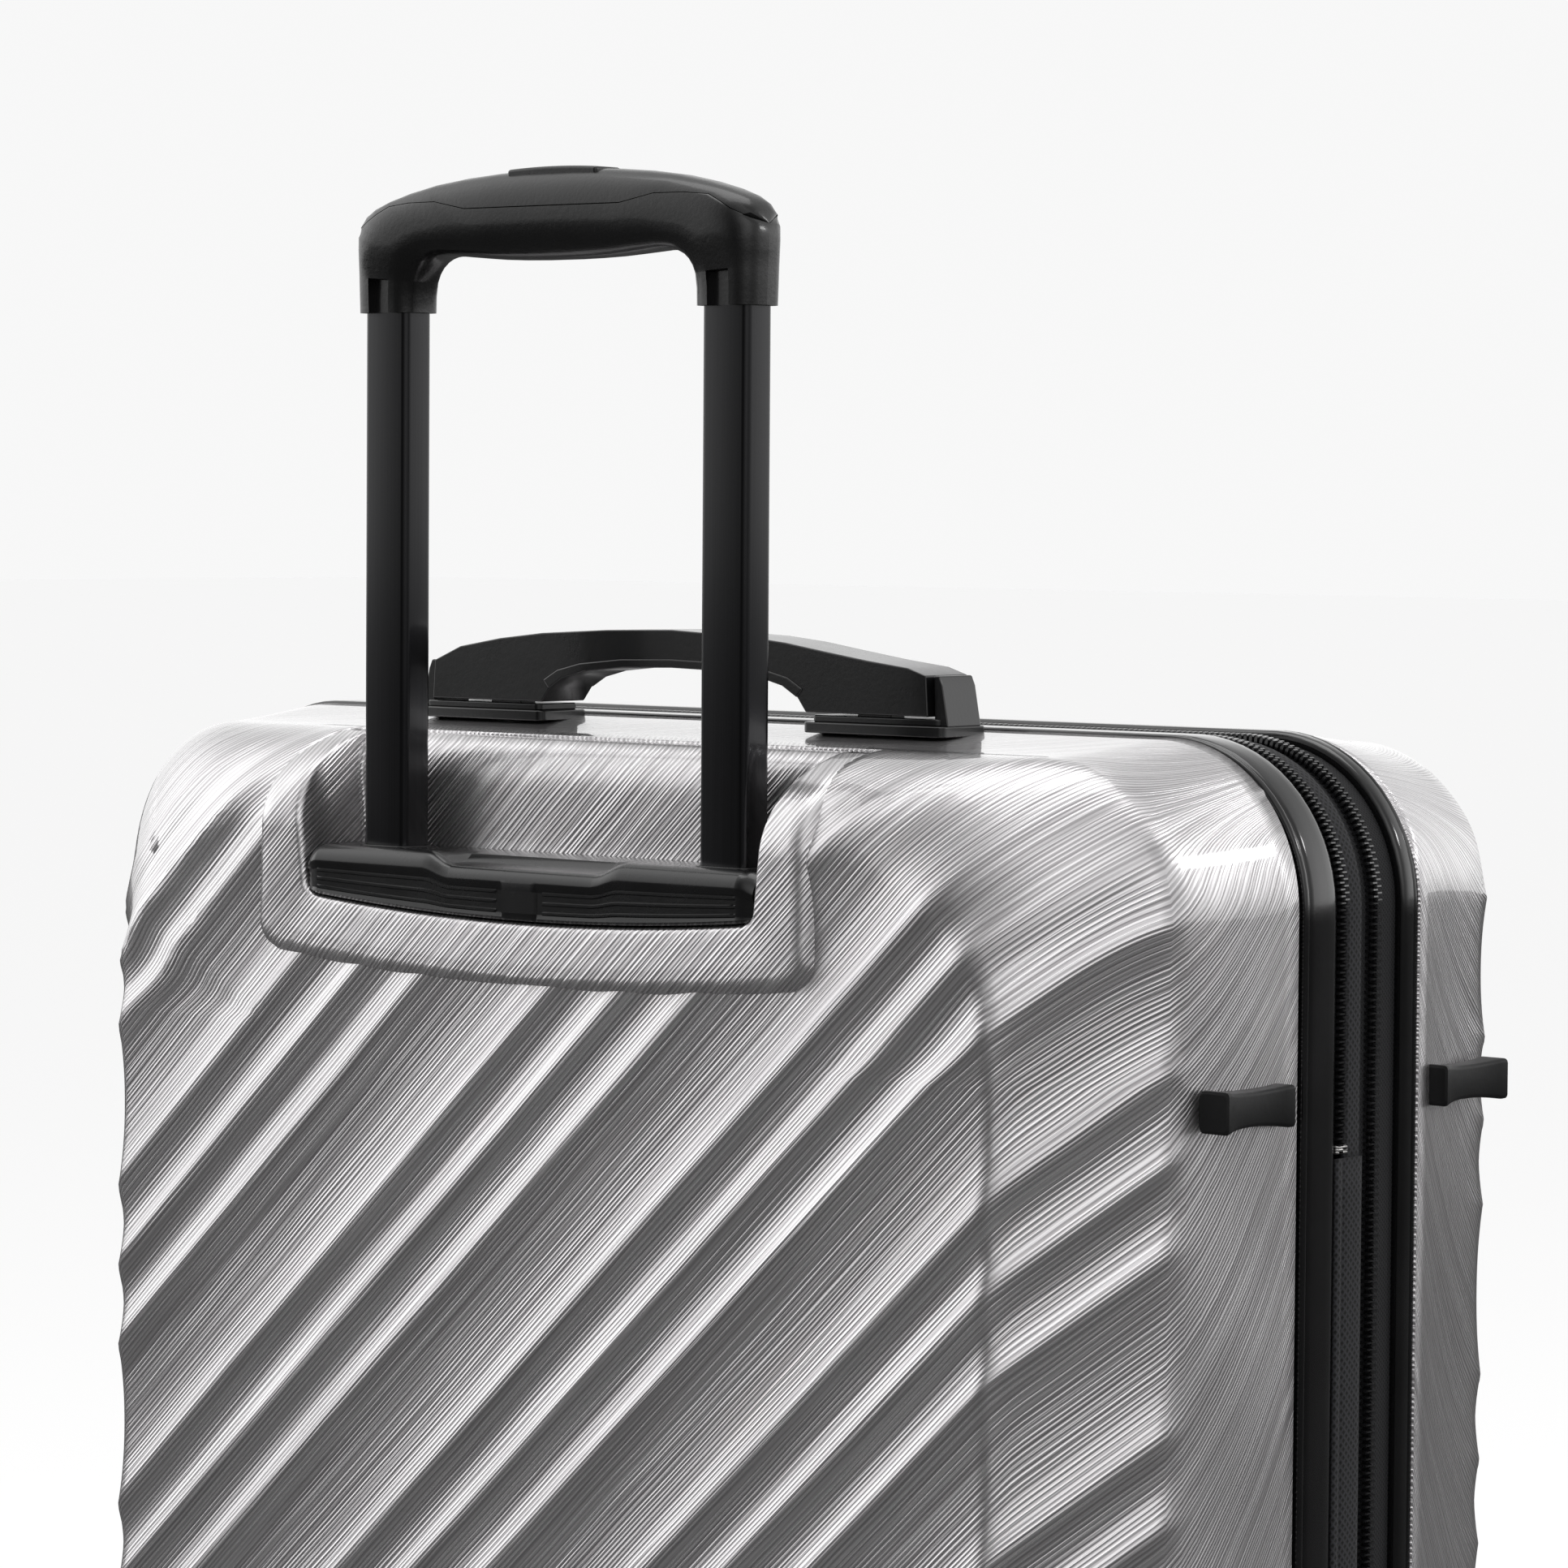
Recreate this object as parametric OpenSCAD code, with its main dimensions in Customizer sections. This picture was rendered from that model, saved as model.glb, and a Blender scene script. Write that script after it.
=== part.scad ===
// Hard shell suitcase on four twin-wheel casters, with telescopic trolley handle.
// Units are millimetres, +Z is up, the floor is z = 0.
// +X is the hinge side with the standing feet, -Y is the side with the trolley handle.
// The origin is on the floor under the middle of the case.

/* [Case] */
// width over the rim trims
rim_w = 536.7; // [440:0.1:600]
// height over the rim trims
rim_h = 700; // [500:1:760]
// height of the lower rim edge above the floor
rim_z0 = 52; // [40:1:70]
// corner radius of the rim, seen from the front
rim_r = 60; // [40:1:90]
// wall of both hard shells
wall = 3; // [2:0.1:4]
// plane of the back panel between the ribs
panel_y = -137; // [-160:1:-110]
// plane of the front panel between the ribs
front_panel_y = 139.5; // [110:0.5:170]

/* [Ribs] */
// direction of the diagonal ribs above horizontal
rib_angle = 43; // [30:1:60]
// pattern repeat across the ribs
rib_pitch = 91; // [60:1:120]
// height of a rib crest above the panel
rib_h = 2.3; // [1:0.1:4]
// foot width of one rib
rib_w = 15; // [8:1:20]

/* [Rim and zips] */
// start of the back trim, at the back shell
back_trim_y = -29.5; // [-40:0.5:-20]
// end of the back trim, at the main zip
zip_edge_y = -9.5; // [-15:0.5:-6]
// start of the front trim, at the expander tape
front_trim_y = 29.6; // [25:0.1:40]
// end of the front trim, at the front shell
front_shell_y = 38; // [34:0.5:50]
// height where the main zip ends on the hinge side, top run
zip_end_top = 607; // [500:1:660]
// height where the main zip ends on the hinge side, bottom run
zip_end_low = 197; // [140:1:300]

/* [Trolley] */
// distance between the two trolley tubes
tube_gap = 168; // [120:1:220]
// width of one trolley tube
tube_w = 22; // [14:0.5:28]
// depth of one trolley tube
tube_d = 14; // [10:0.5:20]
// lower end of the tubes in the stored pose
tube_low_z = 330; // [300:1:460]
// depth position of the tubes
tube_y = -119; // [-130:1:-100]
// highest travel of the handle above the stored pose
tube_up = 150; // [100:1:200]
// travel from the stored pose down to fully stowed
tube_down = 195; // [150:1:195]

/* [Wheels] */
// radius of one wheel
wheel_r = 25; // [20:0.5:32]
// width of one wheel
wheel_w = 9.5; // [7:0.5:14]
// trail from the swivel axis to the wheel axle
trail = 14; // [8:1:20]
// distance of the swivel axes from the middle, sideways
caster_x = 200; // [160:1:220]
// depth position of the two back casters
caster_back_y = -95; // [-110:1:-80]
// depth position of the two front casters
caster_front_y = 100; // [80:1:110]

/* [Carry handles] */
// rise of the top carry handle above the case wall
top_rise = 35; // [25:1:45]
// rise of the side carry handle above the case wall
side_rise = 19; // [16:1:30]
// depth position of both carry handles
carry_y = -48; // [-60:1:-40]

/* [Hidden] */
$fn = 48;
pivot_out = 3.1;
slit = 0.3;
facets = 4;
hw = rim_w/2;
z_top = rim_z0 + rim_h;
z_mid = rim_z0 + rim_h/2;
shell_in = 0.7;
tape_o = 4.15;
tape_i = 5.15;
bead_o = 0.75;
main_y = -5;
exp_y = 14.5;
bead_w = 1.8;
band_y0 = -2.6;
band_y1 = 7.4;
gusset_o = 10.35;
gusset_end = 56.5;
ax = tube_gap/2;
recess_back = -106;
frame_proud = 3.5;
pocket_floor = 677.5;
grip_z0 = 901.5;
grip_top = 952;
grip_d = 25;
housing_z0 = 56;
housing_z1 = 82;
housing_w = 84;
crown_z0 = 50.6;
crown_z1 = 55.6;
lining_z0 = 84;
lining_z1 = 733;
wall_at_carry = 3.7;
foot_x0 = 261;
foot_x1 = 274;
foot_z = [627, 177];
lock_z = 600;
strap_z = 400;
strap_y = -16;
// one section is [y, half width, low z, high z, corner radius]
back_sections = [
  [back_trim_y, hw - shell_in, rim_z0 + shell_in, z_top - shell_in, rim_r],
  [-87, 257, rim_z0 + 6, z_top - 6, 57],
  [-112, 237, rim_z0 + 15, z_top - 13, 62],
  [-128, 224, rim_z0 + 27, z_top - 25, 68],
  [panel_y, 214, rim_z0 + 42, z_top - 42, 72]
];
front_sections = [
  [-front_shell_y, hw - shell_in, rim_z0 + shell_in, z_top - shell_in, rim_r],
  [-96, 257, rim_z0 + 6, z_top - 6, 57],
  [-117, 237, rim_z0 + 15, z_top - 13, 62],
  [-131, 224, rim_z0 + 27, z_top - 25, 68],
  [-front_panel_y, 214, rim_z0 + 42, z_top - 42, 72]
];
back_lining_sections = [
  [-12, 261, lining_z0, lining_z1, 52],
  [-84, 251, lining_z0, lining_z1 - 2, 52],
  [-99, 238, lining_z0 + 4, lining_z1 - 8, 56]
];
front_lining_sections = [
  [-40, 255.5, lining_z0, lining_z1, 50],
  [-92, 250, lining_z0, lining_z1 - 2, 52],
  [-115, 231, lining_z0 + 4, lining_z1 - 10, 56],
  [-127, 219, lining_z0 + 14, lining_z1 - 26, 62]
];

// ---------- helpers ----------
module along_y(y0, y1) {
  translate([0, y1, 0]) rotate([90, 0, 0]) linear_extrude(height = y1 - y0) children();
}
module along_x(x0, x1) {
  translate([x0, 0, 0]) rotate([90, 0, 90]) linear_extrude(height = x1 - x0) children();
}
module box(lo, hi) {
  translate(lo) cube([hi[0] - lo[0], hi[1] - lo[1], hi[2] - lo[2]]);
}
module rrect(w, h, r) {
  square([w - 2*r, h], center = true);
  square([w, h - 2*r], center = true);
  for (sx = [-1, 1], sy = [-1, 1]) {
    translate([sx*(w/2 - r), sy*(h/2 - r)]) circle(r = r);
  }
}
// the rim outline, moved inwards by d
module rim_2d(d) {
  translate([0, z_mid]) rrect(rim_w - 2*d, rim_h - 2*d, rim_r - d);
}
module ring(outer, inner, y0, y1) {
  along_y(y0, y1) difference() {
    rim_2d(outer);
    rim_2d(inner);
  }
}
function arc(cx, cz, r, a0) =
  [for (i = [0:facets]) [cx + r*cos(a0 + 90*i/facets), cz + r*sin(a0 + 90*i/facets)]];
function outline(s) = concat(
  arc(s[1] - s[4], s[3] - s[4], s[4], 0),
  arc(s[4] - s[1], s[3] - s[4], s[4], 90),
  arc(s[4] - s[1], s[2] + s[4], s[4], 180),
  arc(s[1] - s[4], s[2] + s[4], s[4], 270));
// closed solid through sections that step towards -Y
module loft(sections) {
  n = 4*(facets + 1);
  m = len(sections);
  pts = [for (s = sections) for (p = outline(s)) [p[0], s[0], p[1]]];
  sides = [for (i = [0:m - 2]) for (j = [0:n - 1]) for (k = [0, 1])
    let (a = i*n + j, b = i*n + (j + 1)%n, c = b + n, d = a + n)
    k == 0 ? [a, d, c] : [a, c, b]];
  caps = [[for (j = [0:n - 1]) j], [for (j = [0:n - 1]) m*n - 1 - j]];
  polyhedron(points = pts, faces = concat(sides, caps), convexity = 6);
}
// the same sections, grown (t > 0) or shrunk (t < 0), open end moved by lead
function grown(sections, t, lead) = [for (i = [0:len(sections) - 1])
  let (s = sections[i], last = i == len(sections) - 1)
  [s[0] + (i == 0 ? lead : 0) - (last ? t : t*0.5*min(i, 1)),
   s[1] + t, s[2] - t, s[3] + t, s[4] + t]];
module cup(sections, t) {
  difference() {
    loft(sections);
    loft(grown(sections, -t, 1));
  }
}
// ribs: three crests in every repeat, on the panel plane
module ribs(y_plane, half_w, z0, z1) {
  count = 4;
  crests = [0, 23.5, 46];
  intersection() {
    union() for (k = [-count:count]) for (c = crests) {
      translate([0, y_plane, 520])
        rotate([0, -rib_angle, 0])
          translate([0, 0, -(k*rib_pitch + c)])
            along_x(-460, 460)
              polygon([[1, rib_w*0.6], [1, -rib_w*0.4], [-rib_h, 0]]);
    }
    box([-half_w, y_plane - 5, z0], [half_w, y_plane + 0.9, z1]);
    along_y(y_plane - 6, y_plane + 2) translate([0, z_mid]) rrect(2*half_w, z1 - z0, 66);
  }
}
module tube_2d(w, d) {
  rrect(w, d, min(w, d)*0.18);
}
module at_tubes(z0, z1) {
  for (s = [-1, 1]) {
    translate([s*ax, tube_y, z0]) linear_extrude(height = z1 - z0) children();
  }
}
module at_casters(x, y) {
  translate([x, y, 0]) children();
}

// ---------- back half ----------
// opening of the trolley recess, seen from behind
module notch_2d() {
  polygon([[-111, 686], [-80, 683.2], [-40, 681.2], [0, 680.5], [40, 681.2], [80, 683.2],
           [111, 686], [112.5, 705], [118, 790], [-118, 790], [-112.5, 705]]);
}
module pocket_frame_2d() {
  polygon([[-133, 669], [-90, 664], [-40, 661.5], [0, 661], [40, 661.5], [90, 664], [133, 667],
           [131, 700], [136, 760], [-136, 760], [-131, 700]]);
}
module carry_holes() {
  for (s = [-1, 1]) {
    box([s*92 - 9, carry_y - 5, 720], [s*92 + 9, carry_y + 5, 760]);
    box([-272, carry_y - 5, z_mid + s*92 - 9], [-240, carry_y + 5, z_mid + s*92 + 9]);
  }
}
module back_shell() {
  color([0.72, 0.71, 0.72]) difference() {
    union() {
      cup(back_sections, wall);
      intersection() {
        loft(back_sections);
        box([-122, -150, pocket_floor], [122, recess_back + wall, 790]);
      }
      intersection() {
        cup(grown(back_sections, frame_proud, 0), wall + frame_proud);
        along_y(-150, -120) pocket_frame_2d();
        box([-150, -150, 600], [150, panel_y + 12, 745]);
      }
      difference() {
        ribs(panel_y, 205, rim_z0 + 52, z_top - 52);
        box([-137, -150, 655], [137, -100, 790]);
      }
    }
    along_y(-160, recess_back) notch_2d();
    at_tubes(660, 700) tube_2d(tube_w + 2, tube_d + 2);
    carry_holes();
    box([-280, -51, lock_z - 17], [-263.9, -39, lock_z + 17]);
    housing_cut(caster_back_y);
  }
}
module housing_cut(y) {
  for (s = [-1, 1]) {
    at_casters(s*caster_x, y)
      translate([0, 0, 30]) linear_extrude(height = housing_z1 - 29.9)
        rrect(housing_w + 0.2, housing_w + 0.2, 22);
  }
}
module housings(y) {
  for (s = [-1, 1]) {
    at_casters(s*caster_x, y) difference() {
      translate([0, 0, housing_z0]) linear_extrude(height = housing_z1 - housing_z0)
        rrect(housing_w, housing_w, 22);
      translate([0, 0, housing_z0 - 1]) cylinder(r = 5.05, h = 21.5);
      translate([0, 0, housing_z0 + 24]) linear_extrude(height = 3)
        rrect(housing_w - 10, housing_w - 10, 17);
      for (a = [45, 135, 225, 315]) {
        rotate(a) translate([45, 0, housing_z0 - 1]) cylinder(r = 2, h = 12);
      }
    }
  }
}
module back_housings() {
  color([0.06, 0.06, 0.065]) housings(caster_back_y);
}
module back_rim_trim() {
  color([0.03, 0.03, 0.035]) {
    ring(0, 4, back_trim_y + 0.05, zip_edge_y);
    ring(3.9, 5.4, back_trim_y - 5, back_trim_y + 6);
  }
}
module hinge_zone(y0, y1) {
  box([240, y0, zip_end_low], [280, y1, zip_end_top]);
}
module main_zip_back() {
  color([0.09, 0.09, 0.095]) difference() {
    union() {
      ring(tape_o, tape_i, -16, main_y - slit/2);
      ring(bead_o, tape_o, main_y - slit/2 - bead_w, main_y - slit/2);
    }
    hinge_zone(-20, 0);
  }
}
module trolley_bezel() {
  color([0.05, 0.05, 0.055]) difference() {
    intersection() {
      along_y(-142, recess_back - 0.1) polygon([[-110.6, 686.3], [-80, 683.5], [-40, 681.5],
        [0, 680.8], [40, 681.5], [80, 683.5], [110.6, 686.3], [110.6, 704], [-110.6, 704]]);
      along_x(-111, 111) union() {
        translate([-106.1 - 26, 700]) square([26, 3.5]);
        translate([-142, 676]) square([36, 20]);
        translate([-134.5, 696]) circle(r = 7.5);
        translate([-134.5, 690]) square([28.4, 13.5]);
      }
    }
    at_tubes(670, 710) tube_2d(tube_w + 0.7, tube_d + 0.7);
    box([-48, -143, 699], [48, -131, 706]);
    for (s = [-1, 1]) {
      for (k = [0:2]) {
        box([s*57 - 47, -143, 685.7 + 3.6*k], [s*57 + 47, -141.2, 686.7 + 3.6*k]);
      }
    }
  }
}
module trolley_sleeves() {
  color([0.62, 0.62, 0.64]) difference() {
    at_tubes(98, 677) rrect(tube_w + 8, tube_d + 4, 4);
    at_tubes(97, 678) tube_2d(tube_w + 0.8, tube_d + 0.8);
    for (s = [-1, 1]) {
      box([s*(ax + 12.2) - 1.4, tube_y - 2.4, 97], [s*(ax + 12.2) + 1.4, tube_y + 2.4, 678]);
      for (z = [tube_low_z + 14 - tube_down, tube_low_z + 14, tube_low_z + 14 + tube_up]) {
        translate([s*ax, tube_y, z]) rotate([0, s*90, 0]) cylinder(r = 2.6, h = 30);
      }
    }
  }
}
module trolley_foot() {
  color([0.06, 0.06, 0.065]) difference() {
    box([-106, tube_y - 12, 79], [106, tube_y + 12, 97.9]);
    box([-64, tube_y - 8, 84], [64, tube_y + 13, 99]);
  }
}
module back_lining() {
  color([0.16, 0.16, 0.18]) difference() {
    cup(back_lining_sections, 1);
    box([-140, -60, 728], [140, -36, 740]);
    box([-265, -60, z_mid - 105], [-245, -36, z_mid + 105]);
  }
}
module pack_straps() {
  color([0.1, 0.1, 0.11]) {
    box([-259, strap_y - 0.75, strap_z - 12.5], [-30.2, strap_y + 0.75, strap_z + 12.5]);
    box([36, strap_y - 0.75, strap_z - 12.5], [259, strap_y + 0.75, strap_z + 12.5]);
  }
}
module buckle_socket() {
  color([0.07, 0.07, 0.075]) difference() {
    box([-30, strap_y - 5, strap_z - 18], [0, strap_y + 5, strap_z + 18]);
    box([-20, strap_y - 2.4, strap_z - 11.4], [1, strap_y + 2.4, strap_z + 11.4]);
  }
}
module buckle_plug() {
  color([0.07, 0.07, 0.075]) difference() {
    union() {
      box([-18, strap_y - 2, strap_z - 11], [1, strap_y + 2, strap_z + 11]);
      box([0.4, strap_y - 5, strap_z - 18], [40, strap_y + 5, strap_z + 18]);
    }
    box([-19, strap_y - 3, strap_z - 5], [-4, strap_y + 3, strap_z + 5]);
    box([12, strap_y - 1.3, strap_z - 13.2], [41, strap_y + 1.3, strap_z + 13.2]);
  }
}

// ---------- carry handles, drawn on a wall at height 0 and then placed ----------
module carry_base(rise) {
  for (s = [-1, 1]) {
    difference() {
      union() {
        box([s*98 - 33, -13, -1], [s*98 + 33, 13, 3]);
        box([s*98 - 30, -11, 3], [s*98 + 30, 11, 5.5]);
        box([s*128 - 3, -11, 3], [s*128 + 3, 11, rise*0.62]);
      }
      box([s*92 - 8.4, -4.4, -5], [s*92 + 8.4, 4.4, 8]);
    }
  }
}
module carry_grip(rise) {
  difference() {
    along_y(-12, 12) polygon([
      [-123.5, 6.2], [-121, rise*0.62], [-88, rise*0.83], [-45, rise*0.96], [0, rise],
      [45, rise*0.96], [88, rise*0.83], [121, rise*0.62], [123.5, 6.2], [66, 6.2],
      [58, rise*0.48], [40, rise*0.56], [0, rise*0.6], [-40, rise*0.56], [-58, rise*0.48],
      [-66, 6.2]]);
  }
  for (s = [-1, 1]) {
    box([s*92 - 8, -4, -12], [s*92 + 8, 4, 7]);
    box([s*92 - 8, -6.5, -17], [s*92 + 8, 6.5, -15.5]);
    box([s*92 - 8, -4, -16], [s*92 + 8, 4, -11]);
  }
}
module on_top() {
  translate([0, carry_y, z_top - 2]) children();
}
module on_side() {
  translate([-hw + wall_at_carry, carry_y, z_mid]) rotate([0, -90, 0]) children();
}
module top_handle_base() {
  color([0.07, 0.07, 0.075]) on_top() carry_base(top_rise);
}
module top_handle() {
  color([0.05, 0.05, 0.055]) on_top() carry_grip(top_rise);
}
module side_handle_base() {
  color([0.07, 0.07, 0.075]) on_side() carry_base(side_rise);
}
module side_handle() {
  color([0.05, 0.05, 0.055]) on_side() carry_grip(side_rise);
}

// ---------- standing feet and combination lock ----------
module foot(y0, y1, z) {
  difference() {
    along_x(foot_x0, foot_x1) translate([(y0 + y1)/2, z]) rrect(y1 - y0, 15.5, 4);
    translate([foot_x1 + 36, (y0 + y1)/2, z - 20]) cylinder(r = 39, h = 40);
  }
}
module back_feet() {
  color([0.03, 0.03, 0.033]) for (z = foot_z) {
    foot(-80, -41, z);
  }
}
module front_feet() {
  color([0.03, 0.03, 0.033]) for (z = foot_z) {
    foot(50, 89, z);
  }
}
module lock_body() {
  color([0.08, 0.08, 0.085]) difference() {
    union() {
      box([-272.5, -58, lock_z - 38], [-265.2, -32, lock_z + 38]);
      box([-272.5, -58, lock_z - 38], [-262, -35, lock_z + 38]);
    }
    for (k = [-1:1]) {
      box([-280, -51, lock_z + 12*k - 4.5], [-263.5, -39, lock_z + 12*k + 4.5]);
    }
    box([-280, -50, lock_z + 22.5], [-266, -40, lock_z + 35.5]);
    translate([-270, -45, lock_z - 25]) cylinder(r = 1.5, h = 46);
  }
  color([0.08, 0.08, 0.085]) translate([-270, -45, lock_z - 25]) cylinder(r = 1.5, h = 46);
}
module lock_dial(k) {
  color([0.12, 0.12, 0.125]) translate([-270, -45, lock_z + 12*k - 4]) difference() {
    cylinder(r = 5.2, h = 8);
    translate([0, 0, -1]) cylinder(r = 1.56, h = 10);
  }
}
module lock_dial_1() {
  lock_dial(-1);
}
module lock_dial_2() {
  lock_dial(0);
}
module lock_dial_3() {
  lock_dial(1);
}
module lock_button() {
  color([0.5, 0.5, 0.52]) box([-274, -49.6, lock_z + 23], [-266.4, -40.4, lock_z + 31]);
}

// ---------- front half ----------
module front_shell() {
  color([0.72, 0.71, 0.72]) mirror([0, 1, 0]) difference() {
    union() {
      cup(front_sections, wall);
      ribs(-front_panel_y, 205, rim_z0 + 52, z_top - 52);
    }
    housing_cut(-caster_front_y);
  }
}
module front_housings() {
  color([0.06, 0.06, 0.065]) housings(caster_front_y);
}
module front_rim_trim() {
  color([0.03, 0.03, 0.035]) {
    ring(0, 4, front_trim_y, front_shell_y - 0.05);
    ring(3.9, 5.4, front_shell_y - 4, front_shell_y + 5);
  }
}
module front_lining() {
  color([0.16, 0.16, 0.18]) mirror([0, 1, 0]) cup(front_lining_sections, 1);
}
module zip_expander_front() {
  color([0.09, 0.09, 0.095]) {
    ring(tape_o, tape_i, exp_y + slit/2, front_trim_y + 4);
    ring(bead_o, tape_o, exp_y + slit/2, exp_y + slit/2 + bead_w);
  }
}

// ---------- lid frame and hinge ----------
module zip_expander_lid() {
  color([0.09, 0.09, 0.095]) {
    ring(tape_o, tape_i, band_y1 - 1, exp_y - slit/2);
    ring(bead_o, tape_o, exp_y - slit/2 - bead_w, exp_y - slit/2);
  }
}
module main_zip_lid() {
  color([0.09, 0.09, 0.095]) difference() {
    union() {
      ring(tape_o, tape_i, main_y + slit/2, band_y1 - 1.2);
      ring(bead_o, tape_o, main_y + slit/2, main_y + slit/2 + bead_w);
    }
    hinge_zone(-20, band_y0);
  }
}
module lid_band() {
  color([0.07, 0.07, 0.075]) ring(2.2, 4.1, band_y0, band_y1);
}
module gusset() {
  color([0.1, 0.1, 0.11]) {
    ring(gusset_o, gusset_o + 1, 0.5, gusset_end);
    ring(tape_i + 0.02, gusset_o + 0.1, 0.5, 2);
  }
}
module hinge_tape() {
  color([0.05, 0.05, 0.055])
    box([hw - 1.8, zip_edge_y + 0.35, zip_end_low + 1], [hw - 0.3, band_y1 - 0.6, zip_end_top - 1]);
}

// ---------- zip sliders on the -X run ----------
module zip_slider(y, z) {
  color([0.1, 0.1, 0.105]) translate([-hw + 0.3, y, z]) difference() {
    union() {
      box([-2.2, -3.9, -6], [0, 3.9, 6]);
      box([-5.2, -1.6, -2.6], [-2.2, 1.6, 2.6]);
    }
    box([-3.9, -2, -1.4], [-2.3, 2, 1.4]);
  }
}
module zip_pull(y, z) {
  color([0.16, 0.16, 0.165]) translate([-hw + 0.3 - pivot_out, y, z]) {
    along_y(-3.4, 3.4) circle(r = 0.55);
    for (s = [-1, 1]) {
      box([-0.55, s*2.7 - 0.7, -5], [0.55, s*2.7 + 0.7, 0]);
    }
    difference() {
      box([-0.55, -3.4, -26], [0.55, 3.4, -3.6]);
      box([-1, -1.5, -24], [1, 1.5, -20]);
    }
  }
}
module main_slider_a() {
  zip_slider(main_y, 520);
}
module main_pull_a() {
  zip_pull(main_y, 520);
}
module main_slider_b() {
  zip_slider(main_y, 478);
}
module main_pull_b() {
  zip_pull(main_y, 478);
}
module exp_slider() {
  zip_slider(exp_y, 160);
}
module exp_pull() {
  zip_pull(exp_y, 160);
}

// ---------- trolley handle ----------
module trolley_tubes() {
  color([0.04, 0.04, 0.045]) difference() {
    at_tubes(tube_low_z, 921) tube_2d(tube_w, tube_d);
    at_tubes(tube_low_z - 1, 922) tube_2d(tube_w - 2.6, tube_d - 2.6);
    for (s = [-1, 1]) {
      translate([s*ax, tube_y, tube_low_z + 14]) rotate([0, s*90, 0]) cylinder(r = 2.3, h = 30);
    }
  }
}
module tube_blocks() {
  color([0.07, 0.07, 0.075]) difference() {
    at_tubes(tube_low_z + 0.1, tube_low_z + 30) tube_2d(tube_w - 2.7, tube_d - 2.7);
    for (s = [-1, 1]) {
      box([s*ax - 3, tube_y - 3, tube_low_z + 9], [s*ax + 3, tube_y + 3, tube_low_z + 31]);
      translate([s*(ax - 3), tube_y, tube_low_z + 14]) rotate([0, s*90, 0]) cylinder(r = 2.07, h = 30);
    }
  }
}
module lock_pin(s) {
  color([0.6, 0.6, 0.62]) translate([s*(ax + 3.2), tube_y, tube_low_z + 14])
    rotate([0, s*90, 0]) cylinder(r = 2, h = 9.8);
}
module lock_pin_l() {
  lock_pin(-1);
}
module lock_pin_r() {
  lock_pin(1);
}
module push_rods() {
  color([0.6, 0.6, 0.62]) {
    for (s = [-1, 1]) {
      translate([s*ax, tube_y, tube_low_z + 20.5]) cylinder(r = 2.4, h = 933 - tube_low_z - 20.5);
    }
    box([-ax - 2.4, tube_y - 3, 929.5], [ax + 2.4, tube_y + 3, 933]);
  }
}
module grip_2d() {
  polygon([[-97.6, grip_z0], [-98.8, 926], [-98, 932], [-94.5, 937], [-86, 941.5], [-75, 944.8],
    [-50, 948.9], [-25, 951.2], [0, grip_top], [25, 951.2], [50, 948.9], [75, 944.8], [86, 941.5],
    [94.5, 937], [98, 932], [98.8, 926], [97.6, grip_z0], [70.4, grip_z0], [69, 909], [65, 916],
    [57, 920.6], [30, 920], [0, 919.6], [-30, 920], [-57, 920.6], [-65, 916], [-69, 909],
    [-70.4, grip_z0]]);
}
module seam_2d(d) {
  polygon([[-120, 935 + d], [-93, 937 + d], [-67, 941 + d], [-60, 938.4 + d], [60, 938.4 + d],
    [67, 941 + d], [93, 937 + d], [120, 935 + d], [120, 970], [-120, 970]]);
}
module grip_plan() {
  translate([0, tube_y, grip_z0 - 5]) linear_extrude(height = 70) rrect(198, grip_d, 8);
}
module grip_body() {
  color([0.05, 0.05, 0.055]) difference() {
    intersection() {
      along_y(tube_y - grip_d/2, tube_y + grip_d/2) difference() {
        grip_2d();
        seam_2d(0);
      }
      grip_plan();
    }
    box([-ax - 4, tube_y - 4.5, 924.5], [ax + 4, tube_y + 4.5, 960]);
    at_tubes(grip_z0 - 1, 921.1) tube_2d(tube_w + 0.1, tube_d + 0.1);
    at_tubes(920, 940) circle(r = 3.5);
    box([-24, tube_y - 7.5, 928.6], [24, tube_y + 7.5, 960]);
  }
}
module grip_cover() {
  color([0.055, 0.055, 0.06]) difference() {
    intersection() {
      along_y(tube_y - grip_d/2, tube_y + grip_d/2) intersection() {
        grip_2d();
        seam_2d(0.15);
      }
      grip_plan();
    }
    box([-22.4, tube_y - 7.4, 930], [22.4, tube_y + 7.4, 960]);
  }
}
module grip_button() {
  color([0.07, 0.07, 0.075]) translate([0, tube_y, 0]) intersection() {
    translate([0, 0, 933.05]) linear_extrude(height = 19.95) rrect(44, 14, 5);
    translate([0, 20, 953 - 300]) rotate([90, 0, 0]) cylinder(r = 300, h = 40, $fn = 200);
  }
}

// ---------- casters ----------
module caster(x, y) {
  color([0.07, 0.07, 0.075]) translate([x, y, 0]) {
    difference() {
      union() {
        translate([0, 0, crown_z0]) cylinder(r = 16, h = crown_z1 - crown_z0);
        translate([0, 0, crown_z1 - 1]) cylinder(r = 5, h = 20);
        along_x(-2.5, 2.5) polygon([[-trail - 7, wheel_r - 6], [-trail + 6, wheel_r - 6],
          [8, 36], [14, 52], [-12, 52], [-trail - 12, 42]]);
        translate([-2.5, -trail, wheel_r]) rotate([0, 90, 0]) cylinder(r = 9, h = 5);
      }
    }
    translate([-13.9, -trail, wheel_r]) rotate([0, 90, 0]) cylinder(r = 3, h = 27.8);
    for (s = [-1, 1]) {
      translate([s*14.4 - 0.7, -trail, wheel_r]) rotate([0, 90, 0]) cylinder(r = 5, h = 1.4);
    }
  }
}
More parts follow.
